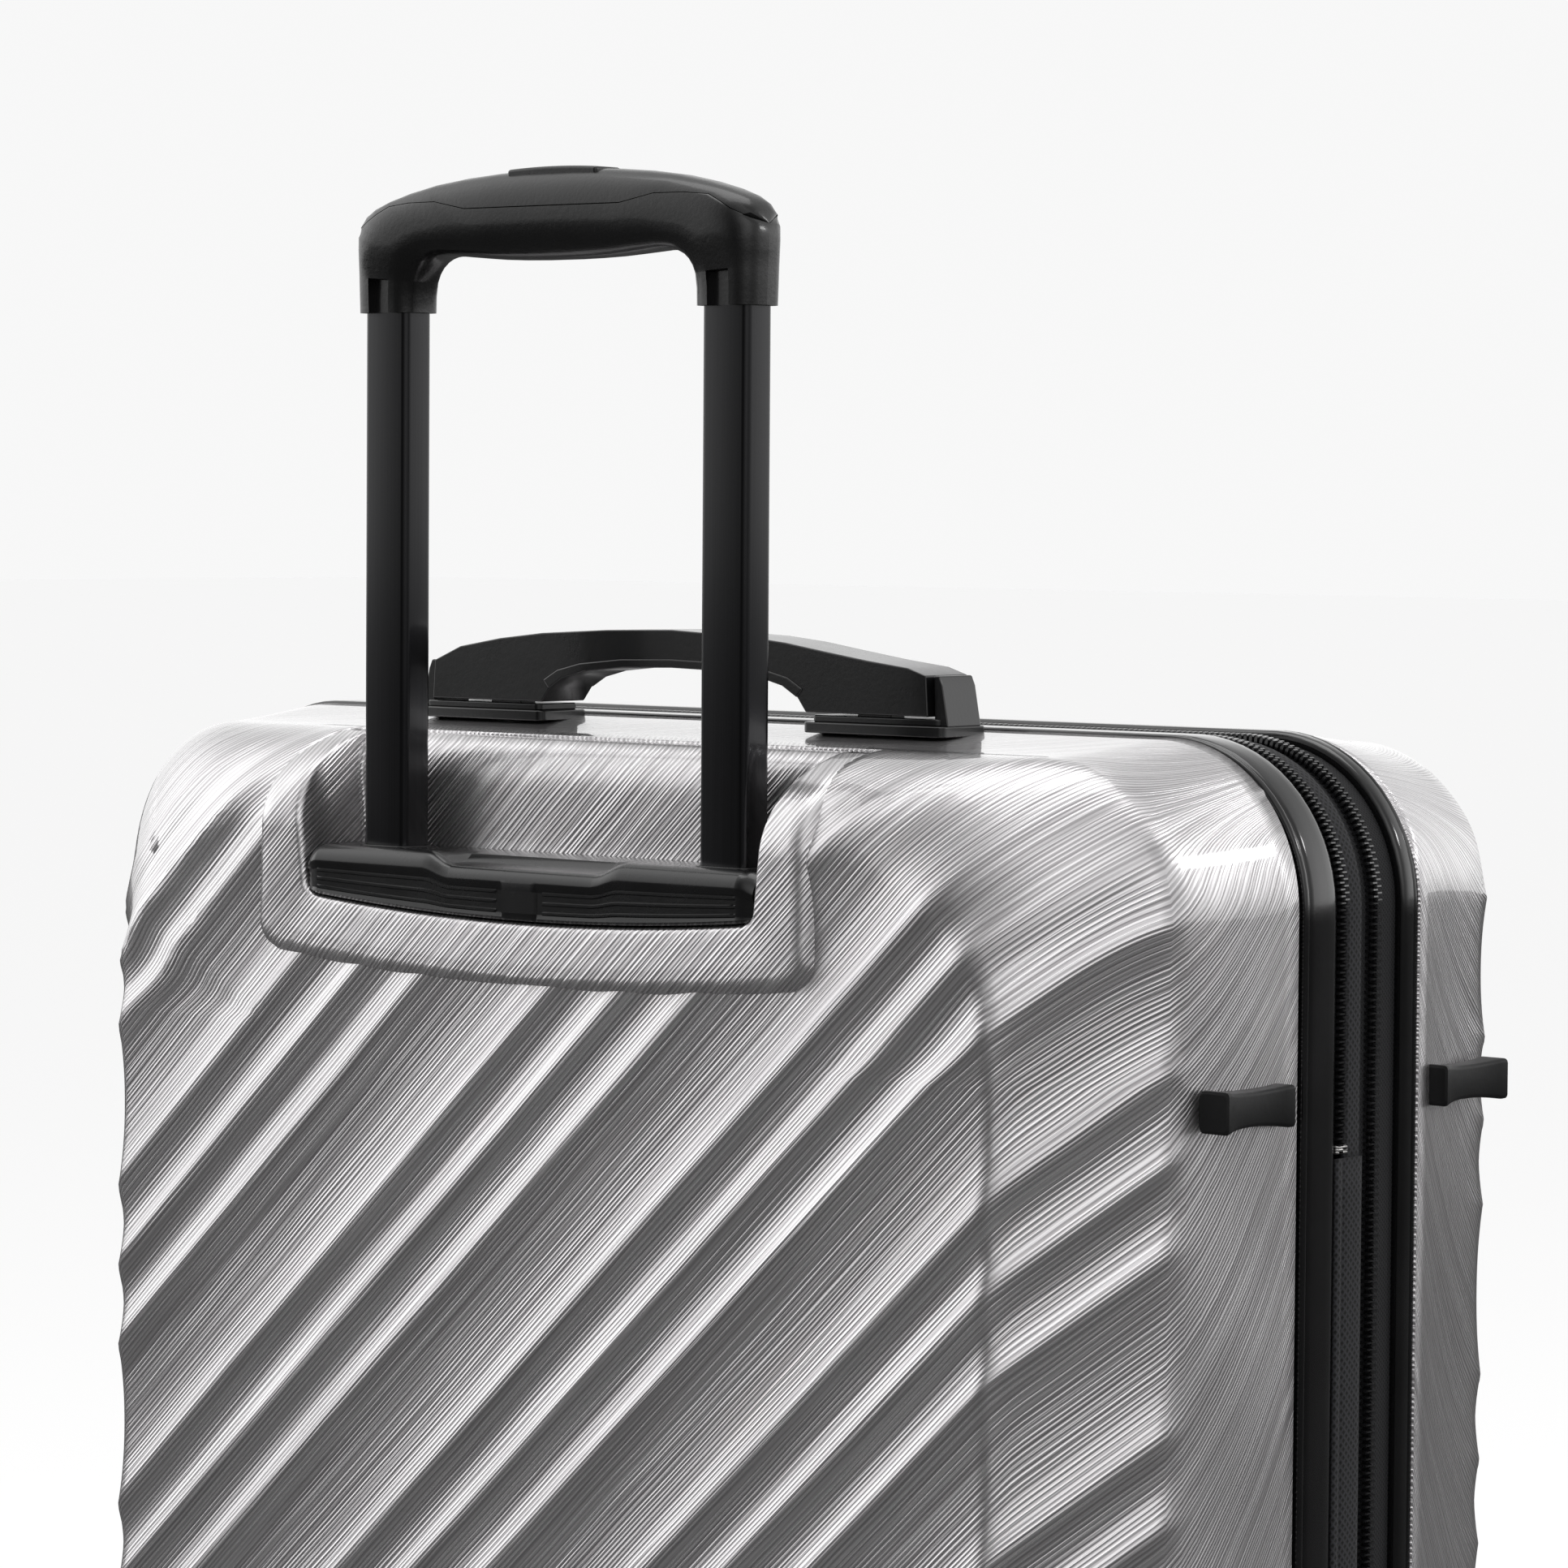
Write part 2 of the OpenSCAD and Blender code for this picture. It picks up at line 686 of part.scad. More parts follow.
module wheel(x, y, s) {
  color([0.13, 0.13, 0.135]) translate([x + s*(3.2 + wheel_w/2), y - trail, wheel_r])
    rotate([0, 90, 0]) difference() {
      translate([0, 0, -wheel_w/2]) cylinder(r = wheel_r, h = wheel_w, $fn = 72);
      translate([0, 0, -wheel_w]) cylinder(r = 3.06, h = 2*wheel_w);
      translate([0, 0, s*(wheel_w/2 - 1.4)]) difference() {
        translate([0, 0, -1.5 + s*1.5]) cylinder(r = 19, h = 3);
        translate([0, 0, -2 + s*1.5]) cylinder(r = 7, h = 4);
      }
    }
}
module caster_bl() {
  caster(-caster_x, caster_back_y);
}
module caster_br() {
  caster(caster_x, caster_back_y);
}
module caster_fl() {
  caster(-caster_x, caster_front_y);
}
module caster_fr() {
  caster(caster_x, caster_front_y);
}
module wheel_bl_a() {
  wheel(-caster_x, caster_back_y, -1);
}
module wheel_bl_b() {
  wheel(-caster_x, caster_back_y, 1);
}
module wheel_br_a() {
  wheel(caster_x, caster_back_y, -1);
}
module wheel_br_b() {
  wheel(caster_x, caster_back_y, 1);
}
module wheel_fl_a() {
  wheel(-caster_x, caster_front_y, -1);
}
module wheel_fl_b() {
  wheel(-caster_x, caster_front_y, 1);
}
module wheel_fr_a() {
  wheel(caster_x, caster_front_y, -1);
}
module wheel_fr_b() {
  wheel(caster_x, caster_front_y, 1);
}

back_shell();
back_rim_trim();
main_zip_back();
trolley_bezel();
trolley_sleeves();
trolley_foot();
back_lining();
pack_straps();
buckle_socket();
buckle_plug();
top_handle_base();
top_handle();
side_handle_base();
side_handle();
back_feet();
back_housings();
lock_body();
lock_dial_1();
lock_dial_2();
lock_dial_3();
lock_button();
front_shell();
front_rim_trim();
front_lining();
front_feet();
front_housings();
zip_expander_front();
zip_expander_lid();
main_zip_lid();
lid_band();
gusset();
hinge_tape();
main_slider_a();
main_pull_a();
main_slider_b();
main_pull_b();
exp_slider();
exp_pull();
trolley_tubes();
tube_blocks();
grip_body();
grip_cover();
grip_button();
push_rods();
lock_pin_l();
lock_pin_r();
caster_bl();
caster_br();
caster_fl();
caster_fr();
wheel_bl_a();
wheel_bl_b();
wheel_br_a();
wheel_br_b();
wheel_fl_a();
wheel_fl_b();
wheel_fr_a();
wheel_fr_b();
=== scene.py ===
import math

import bpy
import numpy as np
from mathutils import Matrix, Vector


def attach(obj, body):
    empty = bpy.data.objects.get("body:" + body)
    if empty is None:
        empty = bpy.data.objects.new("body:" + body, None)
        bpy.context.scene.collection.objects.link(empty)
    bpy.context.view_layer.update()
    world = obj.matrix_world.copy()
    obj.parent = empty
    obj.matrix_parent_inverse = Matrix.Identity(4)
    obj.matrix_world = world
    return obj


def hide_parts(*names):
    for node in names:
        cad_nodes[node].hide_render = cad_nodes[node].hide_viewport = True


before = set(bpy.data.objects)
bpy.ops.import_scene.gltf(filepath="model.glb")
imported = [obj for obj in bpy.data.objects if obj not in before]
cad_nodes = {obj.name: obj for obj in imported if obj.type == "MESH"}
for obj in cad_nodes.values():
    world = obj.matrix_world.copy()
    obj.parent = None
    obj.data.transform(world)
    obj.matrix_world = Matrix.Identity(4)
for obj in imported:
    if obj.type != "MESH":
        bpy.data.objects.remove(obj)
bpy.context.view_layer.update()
MM = 0.001

# ---------------------------------------------------------------------------
# The room: a pale floor, an even pale backdrop and soft studio lights, with
# the camera a little above the top of the case.
# ---------------------------------------------------------------------------
scene = bpy.context.scene
scene.view_settings.view_transform = "Standard"

EYE = (1.4059, -1.6130, 0.8337)
RIGHTWARDS = (0.7545, 0.6563, 0.0071)
UPWARDS = (-0.0384, 0.0334, 0.9987)
BACKWARDS = (0.6552, -0.7538, 0.0504)
lens = bpy.data.cameras.new("camera")
lens.lens = 129.73
lens.sensor_width = 36.0
lens.clip_start = 0.05
lens.clip_end = 200.0
camera = bpy.data.objects.new("camera", lens)
camera.matrix_world = Matrix([
    (RIGHTWARDS[i], UPWARDS[i], BACKWARDS[i], EYE[i]) for i in range(3)] + [(0, 0, 0, 1)])
scene.collection.objects.link(camera)
scene.camera = camera


class Wire:
    """One output of a node tree. Operators on it add the Math nodes for that expression."""

    def __init__(self, tree, socket):
        self.tree, self.socket = tree, socket

    def maths(self, operation, *terms):
        node = self.tree.nodes.new("ShaderNodeMath")
        node.operation = operation
        for place, term in enumerate(terms):
            if isinstance(term, Wire):
                self.tree.links.new(term.socket, node.inputs[place])
            else:
                node.inputs[place].default_value = term
        return Wire(self.tree, node.outputs[0])

    def __add__(self, other):
        return self.maths("ADD", self, other)

    def __radd__(self, other):
        return self.maths("ADD", other, self)

    def __sub__(self, other):
        return self.maths("SUBTRACT", self, other)

    def __rsub__(self, other):
        return self.maths("SUBTRACT", other, self)

    def __mul__(self, other):
        return self.maths("MULTIPLY", self, other)

    def __rmul__(self, other):
        return self.maths("MULTIPLY", other, self)

    def __truediv__(self, other):
        return self.maths("DIVIDE", self, other)

    def __pow__(self, other):
        return self.maths("POWER", self, other)

    def sin(self):
        return self.maths("SINE", self)

    def size(self):
        return self.maths("ABSOLUTE", self)

    def step(self, low, high):
        """0 below low, 1 above high, smooth between."""
        node = self.tree.nodes.new("ShaderNodeMapRange")
        node.interpolation_type = "SMOOTHSTEP"
        self.tree.links.new(self.socket, node.inputs["Value"])
        node.inputs["From Min"].default_value = low
        node.inputs["From Max"].default_value = high
        return Wire(self.tree, node.outputs[0])


class Finish:
    """A material, or the world: node() adds one node and returns its first or named output."""

    def __init__(self, owner):
        owner.use_nodes = True
        self.owner, self.tree = owner, owner.node_tree
        self.tree.nodes.clear()

    def node(self, kind, settings=None, sockets=None, out=0):
        node = self.tree.nodes.new(kind)
        for name, value in (settings or {}).items():
            setattr(node, name, value)
        for name, value in (sockets or {}).items():
            if isinstance(value, Wire):
                self.tree.links.new(value.socket, node.inputs[name])
            else:
                node.inputs[name].default_value = value
        return Wire(self.tree, node.outputs[out]) if node.outputs else None

    def xyz(self, vector):
        """The three numbers of a vector as wires."""
        node = self.tree.nodes.new("ShaderNodeSeparateXYZ")
        self.tree.links.new(vector.socket, node.inputs[0])
        return [Wire(self.tree, o) for o in node.outputs]

    def mix(self, factor, a, b):
        """Colour a where factor is 0, colour b where it is 1."""
        return self.node("ShaderNodeMix", {"data_type": "RGBA"}, {0: factor, 6: a, 7: b}, out=2)

    def noise(self, place, scale, detail=2.0, rough=0.5, flat=False):
        """A cloudy value about 0.5."""
        return self.node("ShaderNodeTexNoise", {"noise_dimensions": "2D" if flat else "3D"},
                         {"Vector": place, "Scale": scale, "Detail": detail, "Roughness": rough})

    def bump(self, height, distance, strength=1.0):
        return self.node("ShaderNodeBump", None, {"Strength": strength, "Distance": distance, "Height": height})


def new_finish(name, **fixed):
    """A material with one Principled shader; fixed holds the sockets that are the same all over."""
    finish = Finish(bpy.data.materials.new(name))
    shader = finish.tree.nodes.new("ShaderNodeBsdfPrincipled")
    for key, value in fixed.items():
        shader.inputs[key.replace("_", " ")].default_value = value
    output = finish.tree.nodes.new("ShaderNodeOutputMaterial")
    finish.tree.links.new(shader.outputs[0], output.inputs[0])
    finish.shader = shader
    return finish


def drive(finish, **varying):
    """Links what changes over the surface into the shader's sockets, and returns the material."""
    for key, wire in varying.items():
        finish.tree.links.new(wire.socket, finish.shader.inputs[key.replace("_", " ")])
    return finish.owner


world = bpy.data.worlds.new("studio")
scene.world = world
studio = Finish(world)
direction = studio.node("ShaderNodeTexCoord", out="Generated")


def glow(towards, sharpness):
    """A soft patch of light on the studio's walls: the cosine of the angle from a direction, to a power."""
    aim = Vector(towards).normalized()
    closeness = studio.node("ShaderNodeVectorMath", {"operation": "DOT_PRODUCT"},
                            {0: direction, 1: aim}, out="Value")
    return closeness.maths("MAXIMUM", closeness, 0.0) ** sharpness


wall_light = (0.05
              + 1.80 * glow((-0.92, -0.31, 0.23), 4.9)
              + 1.05 * glow((-0.62, 0.78, 0.10), 6.0)
              + 1.10 * glow((0.72, 0.66, 0.10), 4.0)
              + 0.70 * glow((0.30, 0.95, 0.00), 5.0)
              + 0.30 * glow((0.95, -0.30, 0.25), 5.0)
              + 1.30 * glow((0.62, -0.66, 0.42), 8.0)
              + 0.70 * glow((-0.5, -0.2, 0.85), 9.0)
              + 1.00 * glow((0, 0.1, 1), 5.0))
backdrop = studio.node("ShaderNodeBackground", None, {"Color": (0.935, 0.935, 0.935, 1), "Strength": 1.0})
walls = studio.node("ShaderNodeBackground", None, {"Color": (1, 1, 1, 1), "Strength": wall_light})
open_air = studio.node("ShaderNodeBackground", None, {"Color": (1, 1, 1, 1), "Strength": 0.85})
seen = studio.node("ShaderNodeLightPath", out="Is Camera Ray")
scattered = studio.node("ShaderNodeLightPath", out="Is Diffuse Ray")
lit = studio.node("ShaderNodeMixShader", None, {0: scattered, 1: walls, 2: open_air})
both = studio.node("ShaderNodeMixShader", None, {0: seen, 1: lit, 2: backdrop})
studio.node("ShaderNodeOutputWorld", None, {"Surface": both})


def softbox(name, place, aim, width, height, watts):
    """A rectangular lamp at a place, facing a point."""
    lamp = bpy.data.lights.new(name, "AREA")
    lamp.shape, lamp.size, lamp.size_y, lamp.energy = "RECTANGLE", width, height, watts
    holder = bpy.data.objects.new(name, lamp)
    holder.location = place
    holder.rotation_euler = (Vector(aim) - Vector(place)).to_track_quat("-Z", "Y").to_euler()
    holder.visible_camera = False
    scene.collection.objects.link(holder)


softbox("overhead", (-0.4, 0.3, 3.4), (0, 0, 0.7), 2.4, 1.8, 22)
softbox("window", (3.1, 2.1, 2.75), (0.2, 0, 0.7), 0.9, 0.42, 19)

FLOOR = 40.0
floor_mesh = bpy.data.meshes.new("floor")
floor_mesh.from_pydata([(-FLOOR, -FLOOR, 0), (FLOOR, -FLOOR, 0), (FLOOR, FLOOR, 0), (-FLOOR, FLOOR, 0)],
                       [], [(0, 1, 2, 3)])
floor = bpy.data.objects.new("floor", floor_mesh)
scene.collection.objects.link(floor)
paper = Finish(bpy.data.materials.new("floor paper"))
pale = paper.node("ShaderNodeBsdfDiffuse", None, {"Color": (0.80, 0.80, 0.80, 1)})
lifted = paper.node("ShaderNodeEmission", None, {"Color": (1, 1, 1, 1), "Strength": 0.20})
shown = paper.node("ShaderNodeAddShader", None, {0: pale, 1: lifted})
dim = paper.node("ShaderNodeBsdfDiffuse", None, {"Color": (0.09, 0.09, 0.09, 1)})
mirrored = paper.node("ShaderNodeLightPath", out="Is Glossy Ray")
floor_look = paper.node("ShaderNodeMixShader", None, {0: mirrored, 1: shown, 2: dim})
paper.node("ShaderNodeOutputMaterial", None, {"Surface": floor_look})
floor_mesh.materials.append(paper.owner)

# ---------------------------------------------------------------------------
# The half shells: pressed polycarbonate sheet, silver film with fine brushed
# lines under a clear coat. Each has a flat panel with diagonal ribs, a side
# chamfer, a soft top rounding and a drafted wall down to the rim.
# ---------------------------------------------------------------------------
RIM_HALF_W, RIM_HALF_H, RIM_MID_Z, RIM_R = 268.35, 350.0, 402.0, 60.0
RIB_TURN = math.radians(43)
STEP_X = 3.336
STEP_Z = STEP_X * math.tan(RIB_TURN)
REPEAT, RIB_SHIFT = 40, 38
WALL_RINGS, CHAMFER_RINGS, TURN_RINGS = 8, 15, 24
CORE_X, CORE_Z = 40, 75
CREASE_W, CREASE_DROP = 257.0, 6.0


def smooth(t):
    """0 to 1 with level ends: 3t^2 - 2t^3, held outside."""
    t = np.clip(t, 0.0, 1.0)
    return t * t * (3 - 2 * t)


def groove_depth(sigma):
    """Depth below the crests, against steps across the ribs: two narrow flutes and a wide one in every repeat,
    each one minus a power of the distance from its middle."""
    phase = np.mod(sigma + RIB_SHIFT, REPEAT)
    depth = np.zeros_like(phase)
    for start, end, deep, power in ((0, 10, 2.6, 1.6), (10, 20, 2.6, 1.6), (20, 40, 3.0, 2.2)):
        u = (phase - start) / (end - start)
        inside = (u >= 0) & (u < 1)
        depth = np.where(inside, deep * (1 - np.abs(2 * u - 1) ** power), depth)
    return depth


def grid_faces(rows, cols, wrap_rows=False, wrap_cols=False, flip=False, split=False):
    """Corner numbers of the cells of a grid, as quads, or as triangles cut along the rising diagonal."""
    r = np.arange(rows if wrap_rows else rows - 1)
    c = np.arange(cols if wrap_cols else cols - 1)
    r, c = np.meshgrid(r, c, indexing="ij")
    r1, c1 = (r + 1) % rows, (c + 1) % cols
    a, b, d, e = r * cols + c, r * cols + c1, r1 * cols + c1, r1 * cols + c
    if split:
        faces = np.concatenate([np.stack([a, b, d], -1).reshape(-1, 3), np.stack([a, d, e], -1).reshape(-1, 3)])
    else:
        faces = np.stack([a, b, d, e], -1).reshape(-1, 4)
    return faces[:, ::-1] if flip else faces


def new_piece(name, points, faces, finish, body, nodes, slot, grain=None, creases=None):
    """A mesh object from points in millimetres and one or more arrays of faces, riding on a body in place of CAD
    nodes. grain is a vector for each point, such as its place along and across a pattern."""
    points = np.asarray(points, float).reshape(-1, 3) * MM
    groups = faces if isinstance(faces, list) else [faces]
    mesh = bpy.data.meshes.new(name)
    mesh.from_pydata(points.tolist(), [], [face for group in groups for face in np.asarray(group).tolist()])
    if grain is not None:
        pattern = mesh.attributes.new("grain", "FLOAT_VECTOR", "POINT")
        pattern.data.foreach_set("vector", np.asarray(grain, np.float32).reshape(-1))
    mesh.update()
    mesh.materials.append(finish)
    mesh.shade_smooth()
    if creases is not None:
        mesh.set_sharp_from_angle(angle=math.radians(creases))
    piece = bpy.data.objects.new(name, mesh)
    scene.collection.objects.link(piece)
    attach(piece, body)
    if nodes:
        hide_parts(*nodes)
    return piece


def outward(points):
    """Unit normals of a grid of points, from the cross product of its two directions."""
    n = np.cross(np.gradient(points, axis=0), np.gradient(points, axis=1))
    return n / np.maximum(np.linalg.norm(n, axis=2, keepdims=True), 1e-9)


def half_shell(rim_y, crease_y, panel_y):
    """The outer face of a half shell as a grid [row, column] with x right and z up, before its ribs are cut.
    Rings count inwards from the rim. A ring is a rectangle with round corners; its size, corner radius and depth
    depend on the ring alone, except over the top, where the depth follows a quarter ellipse and not the chamfer."""
    rings = WALL_RINGS + CHAMFER_RINGS + TURN_RINGS
    cols, rows = 2 * (CORE_X + rings) + 1, 2 * (CORE_Z + rings) + 1
    crest_w, crest_h = (CORE_X + TURN_RINGS) * STEP_X, (CORE_Z + TURN_RINGS) * STEP_Z
    k = np.arange(rings + 1)
    wall = np.clip(k / WALL_RINGS, 0, 1)
    cham = np.clip((k - WALL_RINGS) / CHAMFER_RINGS, 0, 1)
    turn = np.clip((k - WALL_RINGS - CHAMFER_RINGS) / TURN_RINGS, 0, 1)
    half_w = (RIM_HALF_W - 0.5) * (1 - wall) + CREASE_W * wall
    half_w = half_w - (CREASE_W - crest_w) * cham - TURN_RINGS * STEP_X * turn
    sweep = cham * math.pi / 2
    half_h = RIM_HALF_H - 0.5 - (CREASE_DROP - 0.5) * wall
    half_h = half_h - (RIM_HALF_H - CREASE_DROP - crest_h) * (1 - np.cos(sweep)) - TURN_RINGS * STEP_Z * turn
    radius = (RIM_R - 0.5 - 3 * wall + 15 * cham) * (1 - turn)
    eased = 1 - (np.sqrt((1 - cham) ** 2 + 0.0036) - 0.06)
    side_y = rim_y + (crease_y - rim_y) * wall + (panel_y - crease_y) * eased / eased[-1]
    top_y = rim_y + (crease_y - rim_y) * wall + (panel_y - crease_y) * np.sin(sweep)
    row, col = np.meshgrid(np.arange(rows), np.arange(cols), indexing="ij")
    ring = np.minimum(np.minimum(col, cols - 1 - col), np.minimum(row, rows - 1 - row))
    ring = np.minimum(ring, rings)
    gx, gz = col - (cols - 1) / 2, row - (rows - 1) / 2
    w, h, r = half_w[ring], half_h[ring], radius[ring]
    across, upward = np.abs(gx) - CORE_X, np.abs(gz) - CORE_Z
    on_side = across > upward
    limit = np.where(ring < rings, rings - ring, 1)
    free = np.where(on_side, np.abs(gz), np.abs(gx))
    straight = np.where(on_side, CORE_Z, CORE_X)
    reach = np.where(on_side, CORE_Z * STEP_Z, CORE_X * STEP_X)
    run = np.maximum(np.where(on_side, h, w) - r - reach, 0)
    along = np.clip((free - straight) / limit, 0, 1) * (run + r * math.pi / 4)
    bend = np.clip((along - run) / np.maximum(r, 1e-6), 0, math.pi / 4)
    short = reach + np.minimum(along, run) + r * np.sin(bend)
    short = np.where(free <= straight, free * np.where(on_side, STEP_Z, STEP_X), short)
    long = np.where(on_side, w, h) - r * (1 - np.cos(bend))
    core = (across <= 0) & (upward <= 0)
    x = np.where(core, gx * STEP_X, np.where(on_side, long, short) * np.sign(gx))
    z = np.where(core, gz * STEP_Z, np.where(on_side, short, long) * np.sign(gz))
    turned = np.where(on_side, bend, math.pi / 2 - bend) / (math.pi / 2)
    over_top = np.where(core, 0, smooth(turned))
    y = side_y[ring] * (1 - over_top) + top_y[ring] * over_top
    fade_side = smooth((ring - WALL_RINGS + 1.5) / 2.5)
    fade_top = smooth((ring - WALL_RINGS - 2) / 9)
    fade = np.where(core, 1, fade_side * (1 - over_top) + fade_top * over_top)
    # across the corners ribs and lines run straight on, by place and not by cell, and the ribs die out on the bend
    corner = smooth(np.where(core, 0, turned) * 3)
    fade = fade * (1 - 0.9 * corner * smooth((WALL_RINGS + CHAMFER_RINGS - ring) / 9))
    # the brushed lines keep the ribs' direction, then bend upright on the side walls
    out = np.clip(WALL_RINGS - ring, 0, WALL_RINGS) / WALL_RINGS * 57.5
    flat_x = np.sign(gx) * np.minimum(np.abs(gx), (cols - 1) / 2 - WALL_RINGS) * STEP_X
    flat_z = np.sign(gz) * np.minimum(np.abs(gz), (rows - 1) / 2 - WALL_RINGS) * STEP_Z
    flat_x, flat_z = flat_x * (1 - corner) + x * corner, flat_z * (1 - corner) + z * corner
    climb = 0.731 * (0.80 * out + 0.0150 * out ** 2)
    over = math.sin(RIB_TURN) * flat_x - math.cos(RIB_TURN) * flat_z
    over = over + np.sign(gx) * climb * (1 - over_top) - np.sign(gz) * 0.75 * out * over_top
    along_lines = math.cos(RIB_TURN) * flat_x + math.sin(RIB_TURN) * flat_z + 1.2 * out
    grain = np.stack([over, along_lines, out / 57.5], -1)
    sigma = (gx - gz) * (1 - corner) + (x / STEP_X - z / STEP_Z) * corner
    return np.stack([x, y, z + RIM_MID_Z], -1), sigma, fade, ring, grain


def brushed_film():
    """Silver film: fine lines along the grain, light and dark by turns, a little wavy on the walls, clear coated."""
    film = new_finish("silver film", Metallic=0.92, Coat_Weight=1.0, Coat_Roughness=0.05, Coat_IOR=1.5)
    place = film.node("ShaderNodeTexCoord", out="Object")
    grain = film.node("ShaderNodeAttribute", {"attribute_name": "grain"}, out="Vector")
    over, along, wall = film.xyz(grain)
    drift = film.noise(place, 14.0, 2.0)
    wander = over + (drift - 0.5) * (1.4 + 4.0 * wall)
    slow = along * 0.007

    def lines(pitch, stretch, detail, rough):
        at = film.node("ShaderNodeCombineXYZ", None, {"X": wander / pitch, "Y": slow * stretch, "Z": 0.0})
        return film.noise(at, 1.0, detail, rough, flat=True)

    fine = lines(0.75, 1.0, 1.0, 0.5)
    broad = lines(4.5, 0.6, 3.0, 0.65)
    hair = (wander * (2 * math.pi / 1.62) + (lines(6.0, 1.0, 1.0, 0.5) - 0.5) * 5.5).sin() * 0.5 + 0.5
    tone = fine.step(0.28, 0.72) * 0.30 + broad.step(0.25, 0.75) * 0.22 + hair * 0.48
    colour = film.mix(tone.step(0.12, 0.88), (0.36, 0.345, 0.355, 1), (0.86, 0.845, 0.855, 1))
    rough = 0.36 - tone * 0.12
    return drive(film, Base_Color=colour, Roughness=rough, Normal=film.bump(tone, 0.00042, 0.5))


silver = brushed_film()


def build_shell(name, rim_y, crease_y, panel_y, body, hole=None):
    base, sigma, fade, ring, grain = half_shell(rim_y, crease_y, panel_y)
    normal = outward(base)
    normal = normal * np.sign(normal[..., 1:2].mean() * (panel_y - rim_y))
    level = smooth((ring - WALL_RINGS - CHAMFER_RINGS + 4) / 4)[..., None]
    normal = normal * (1 - level) + np.array([0, math.copysign(1, panel_y), 0]) * level
    normal = normal / np.linalg.norm(normal, axis=2, keepdims=True)
    ripple = 0.5 * np.sin(base[..., 2:3] / 21.0 + base[..., 1:2] / 30.0) * (1 - smooth((ring - 5) / 4))[..., None]
    ripple = ripple * smooth(ring / 3)[..., None]
    points = base - normal * (groove_depth(sigma) * fade)[..., None] - normal * (0.4 + ripple) * (ring[..., None] < 9)
    faces = grid_faces(*sigma.shape, split=True, flip=panel_y > rim_y)
    if hole is not None:
        flat = points.reshape(-1, 3)
        cut = hole(flat[:, 0], flat[:, 1], flat[:, 2])
        faces = faces[~cut[faces].any(axis=1)]
    shell = new_piece(name, points, faces, silver, body, [name], "silver_shell", grain.reshape(-1, 3))
    sheet = shell.modifiers.new("sheet", "SOLIDIFY")
    sheet.thickness, sheet.offset = 2.6 * MM, -1.0
    return shell


BACK_PANEL, FRONT_PANEL = -139.3, 141.8
build_shell("back_shell", -29.5, -87.0, BACK_PANEL, "back",
            lambda x, y, z: (np.abs(x) < 127) & (z > 671) & (y < -93))
build_shell("front_shell", 38.0, 96.0, FRONT_PANEL, "front")

# ---------------------------------------------------------------------------
# The trolley recess, pressed into the back shell: a raised frame round three
# sides, side walls, and a back wall that rolls over into the top of the case.
# ---------------------------------------------------------------------------
RECESS_BACK, ROLL_Z, ROLL_R = -106.0, 729.0, 16.0
RAISED = 2.3


def panel_face(z):
    """Depth of the back shell's plain face at a height, in the middle: flat, then a quarter ellipse at the top."""
    top = 752 - CREASE_DROP
    deep, high = BACK_PANEL + 87.0, top - (RIM_MID_Z + (CORE_Z + TURN_RINGS) * STEP_Z)
    t = np.clip((z - (top - high)) / high, 0, 1)
    return -87.0 + deep * np.sqrt(np.maximum(1 - t * t, 0))


def recess_back(z):
    """Depth of the recess's back wall: upright, then a quarter circle over to the top of the case."""
    t = np.clip((z - ROLL_Z) / ROLL_R, 0, 1)
    return RECESS_BACK + ROLL_R * (1 - np.sqrt(np.maximum(1 - t * t, 0)))


def recess_edges():
    """The frame's inner and outer edges as matched points: down the left side, round, along the bottom and up."""
    turn = np.linspace(0, math.pi / 2, 7)[1:-1]
    down = np.linspace(0, 1, 34)[:, None]
    lift = ROLL_Z + ROLL_R - 0.3

    def side(x_top, x_low, z_low, corner):
        z = lift + (z_low + corner - lift) * down
        return np.concatenate([x_top + (x_low - x_top) * down, z], 1)

    def bottom(half, low, rise, corner, bend):
        x = np.linspace(-half + corner, half - corner, 41)
        return np.stack([x, low + rise * (np.abs(x) / half) ** bend], 1)

    def elbow(half, z_low, corner):
        return np.stack([-half + corner * (1 - np.cos(turn)), z_low + corner * (1 - np.sin(turn))], 1)

    inner = np.concatenate([side(-117.5, -111.2, 685.6, 5), elbow(111.2, 685.6, 5),
                            bottom(111.2, 680.2, 5.4, 5, 2.0)])
    outer = np.concatenate([side(-131.0, -133.0, 667.0, 8), elbow(133.0, 667.0, 8),
                            bottom(133.0, 659.5, 7.5, 8, 2.0)])
    mirror = np.array([-1, 1])
    half = len(inner) - 41
    return tuple(np.concatenate([edge, edge[:half][::-1] * mirror]) for edge in (inner, outer))


inner_edge, outer_edge = recess_edges()
inward = inner_edge - outer_edge
band = np.linalg.norm(inward, axis=1, keepdims=True)
inward = inward / band
# where the frame has reached the top of the case it sinks into it
proud = RAISED * (1 - smooth((inner_edge[:, 1] - 728) / 15))
profile = [(-2.6, 7.5), (-2.0, 4.6), (-1.4, 2.4), (-0.7, 0.8), (0.3, 0.1), (1.6, 0.0)]
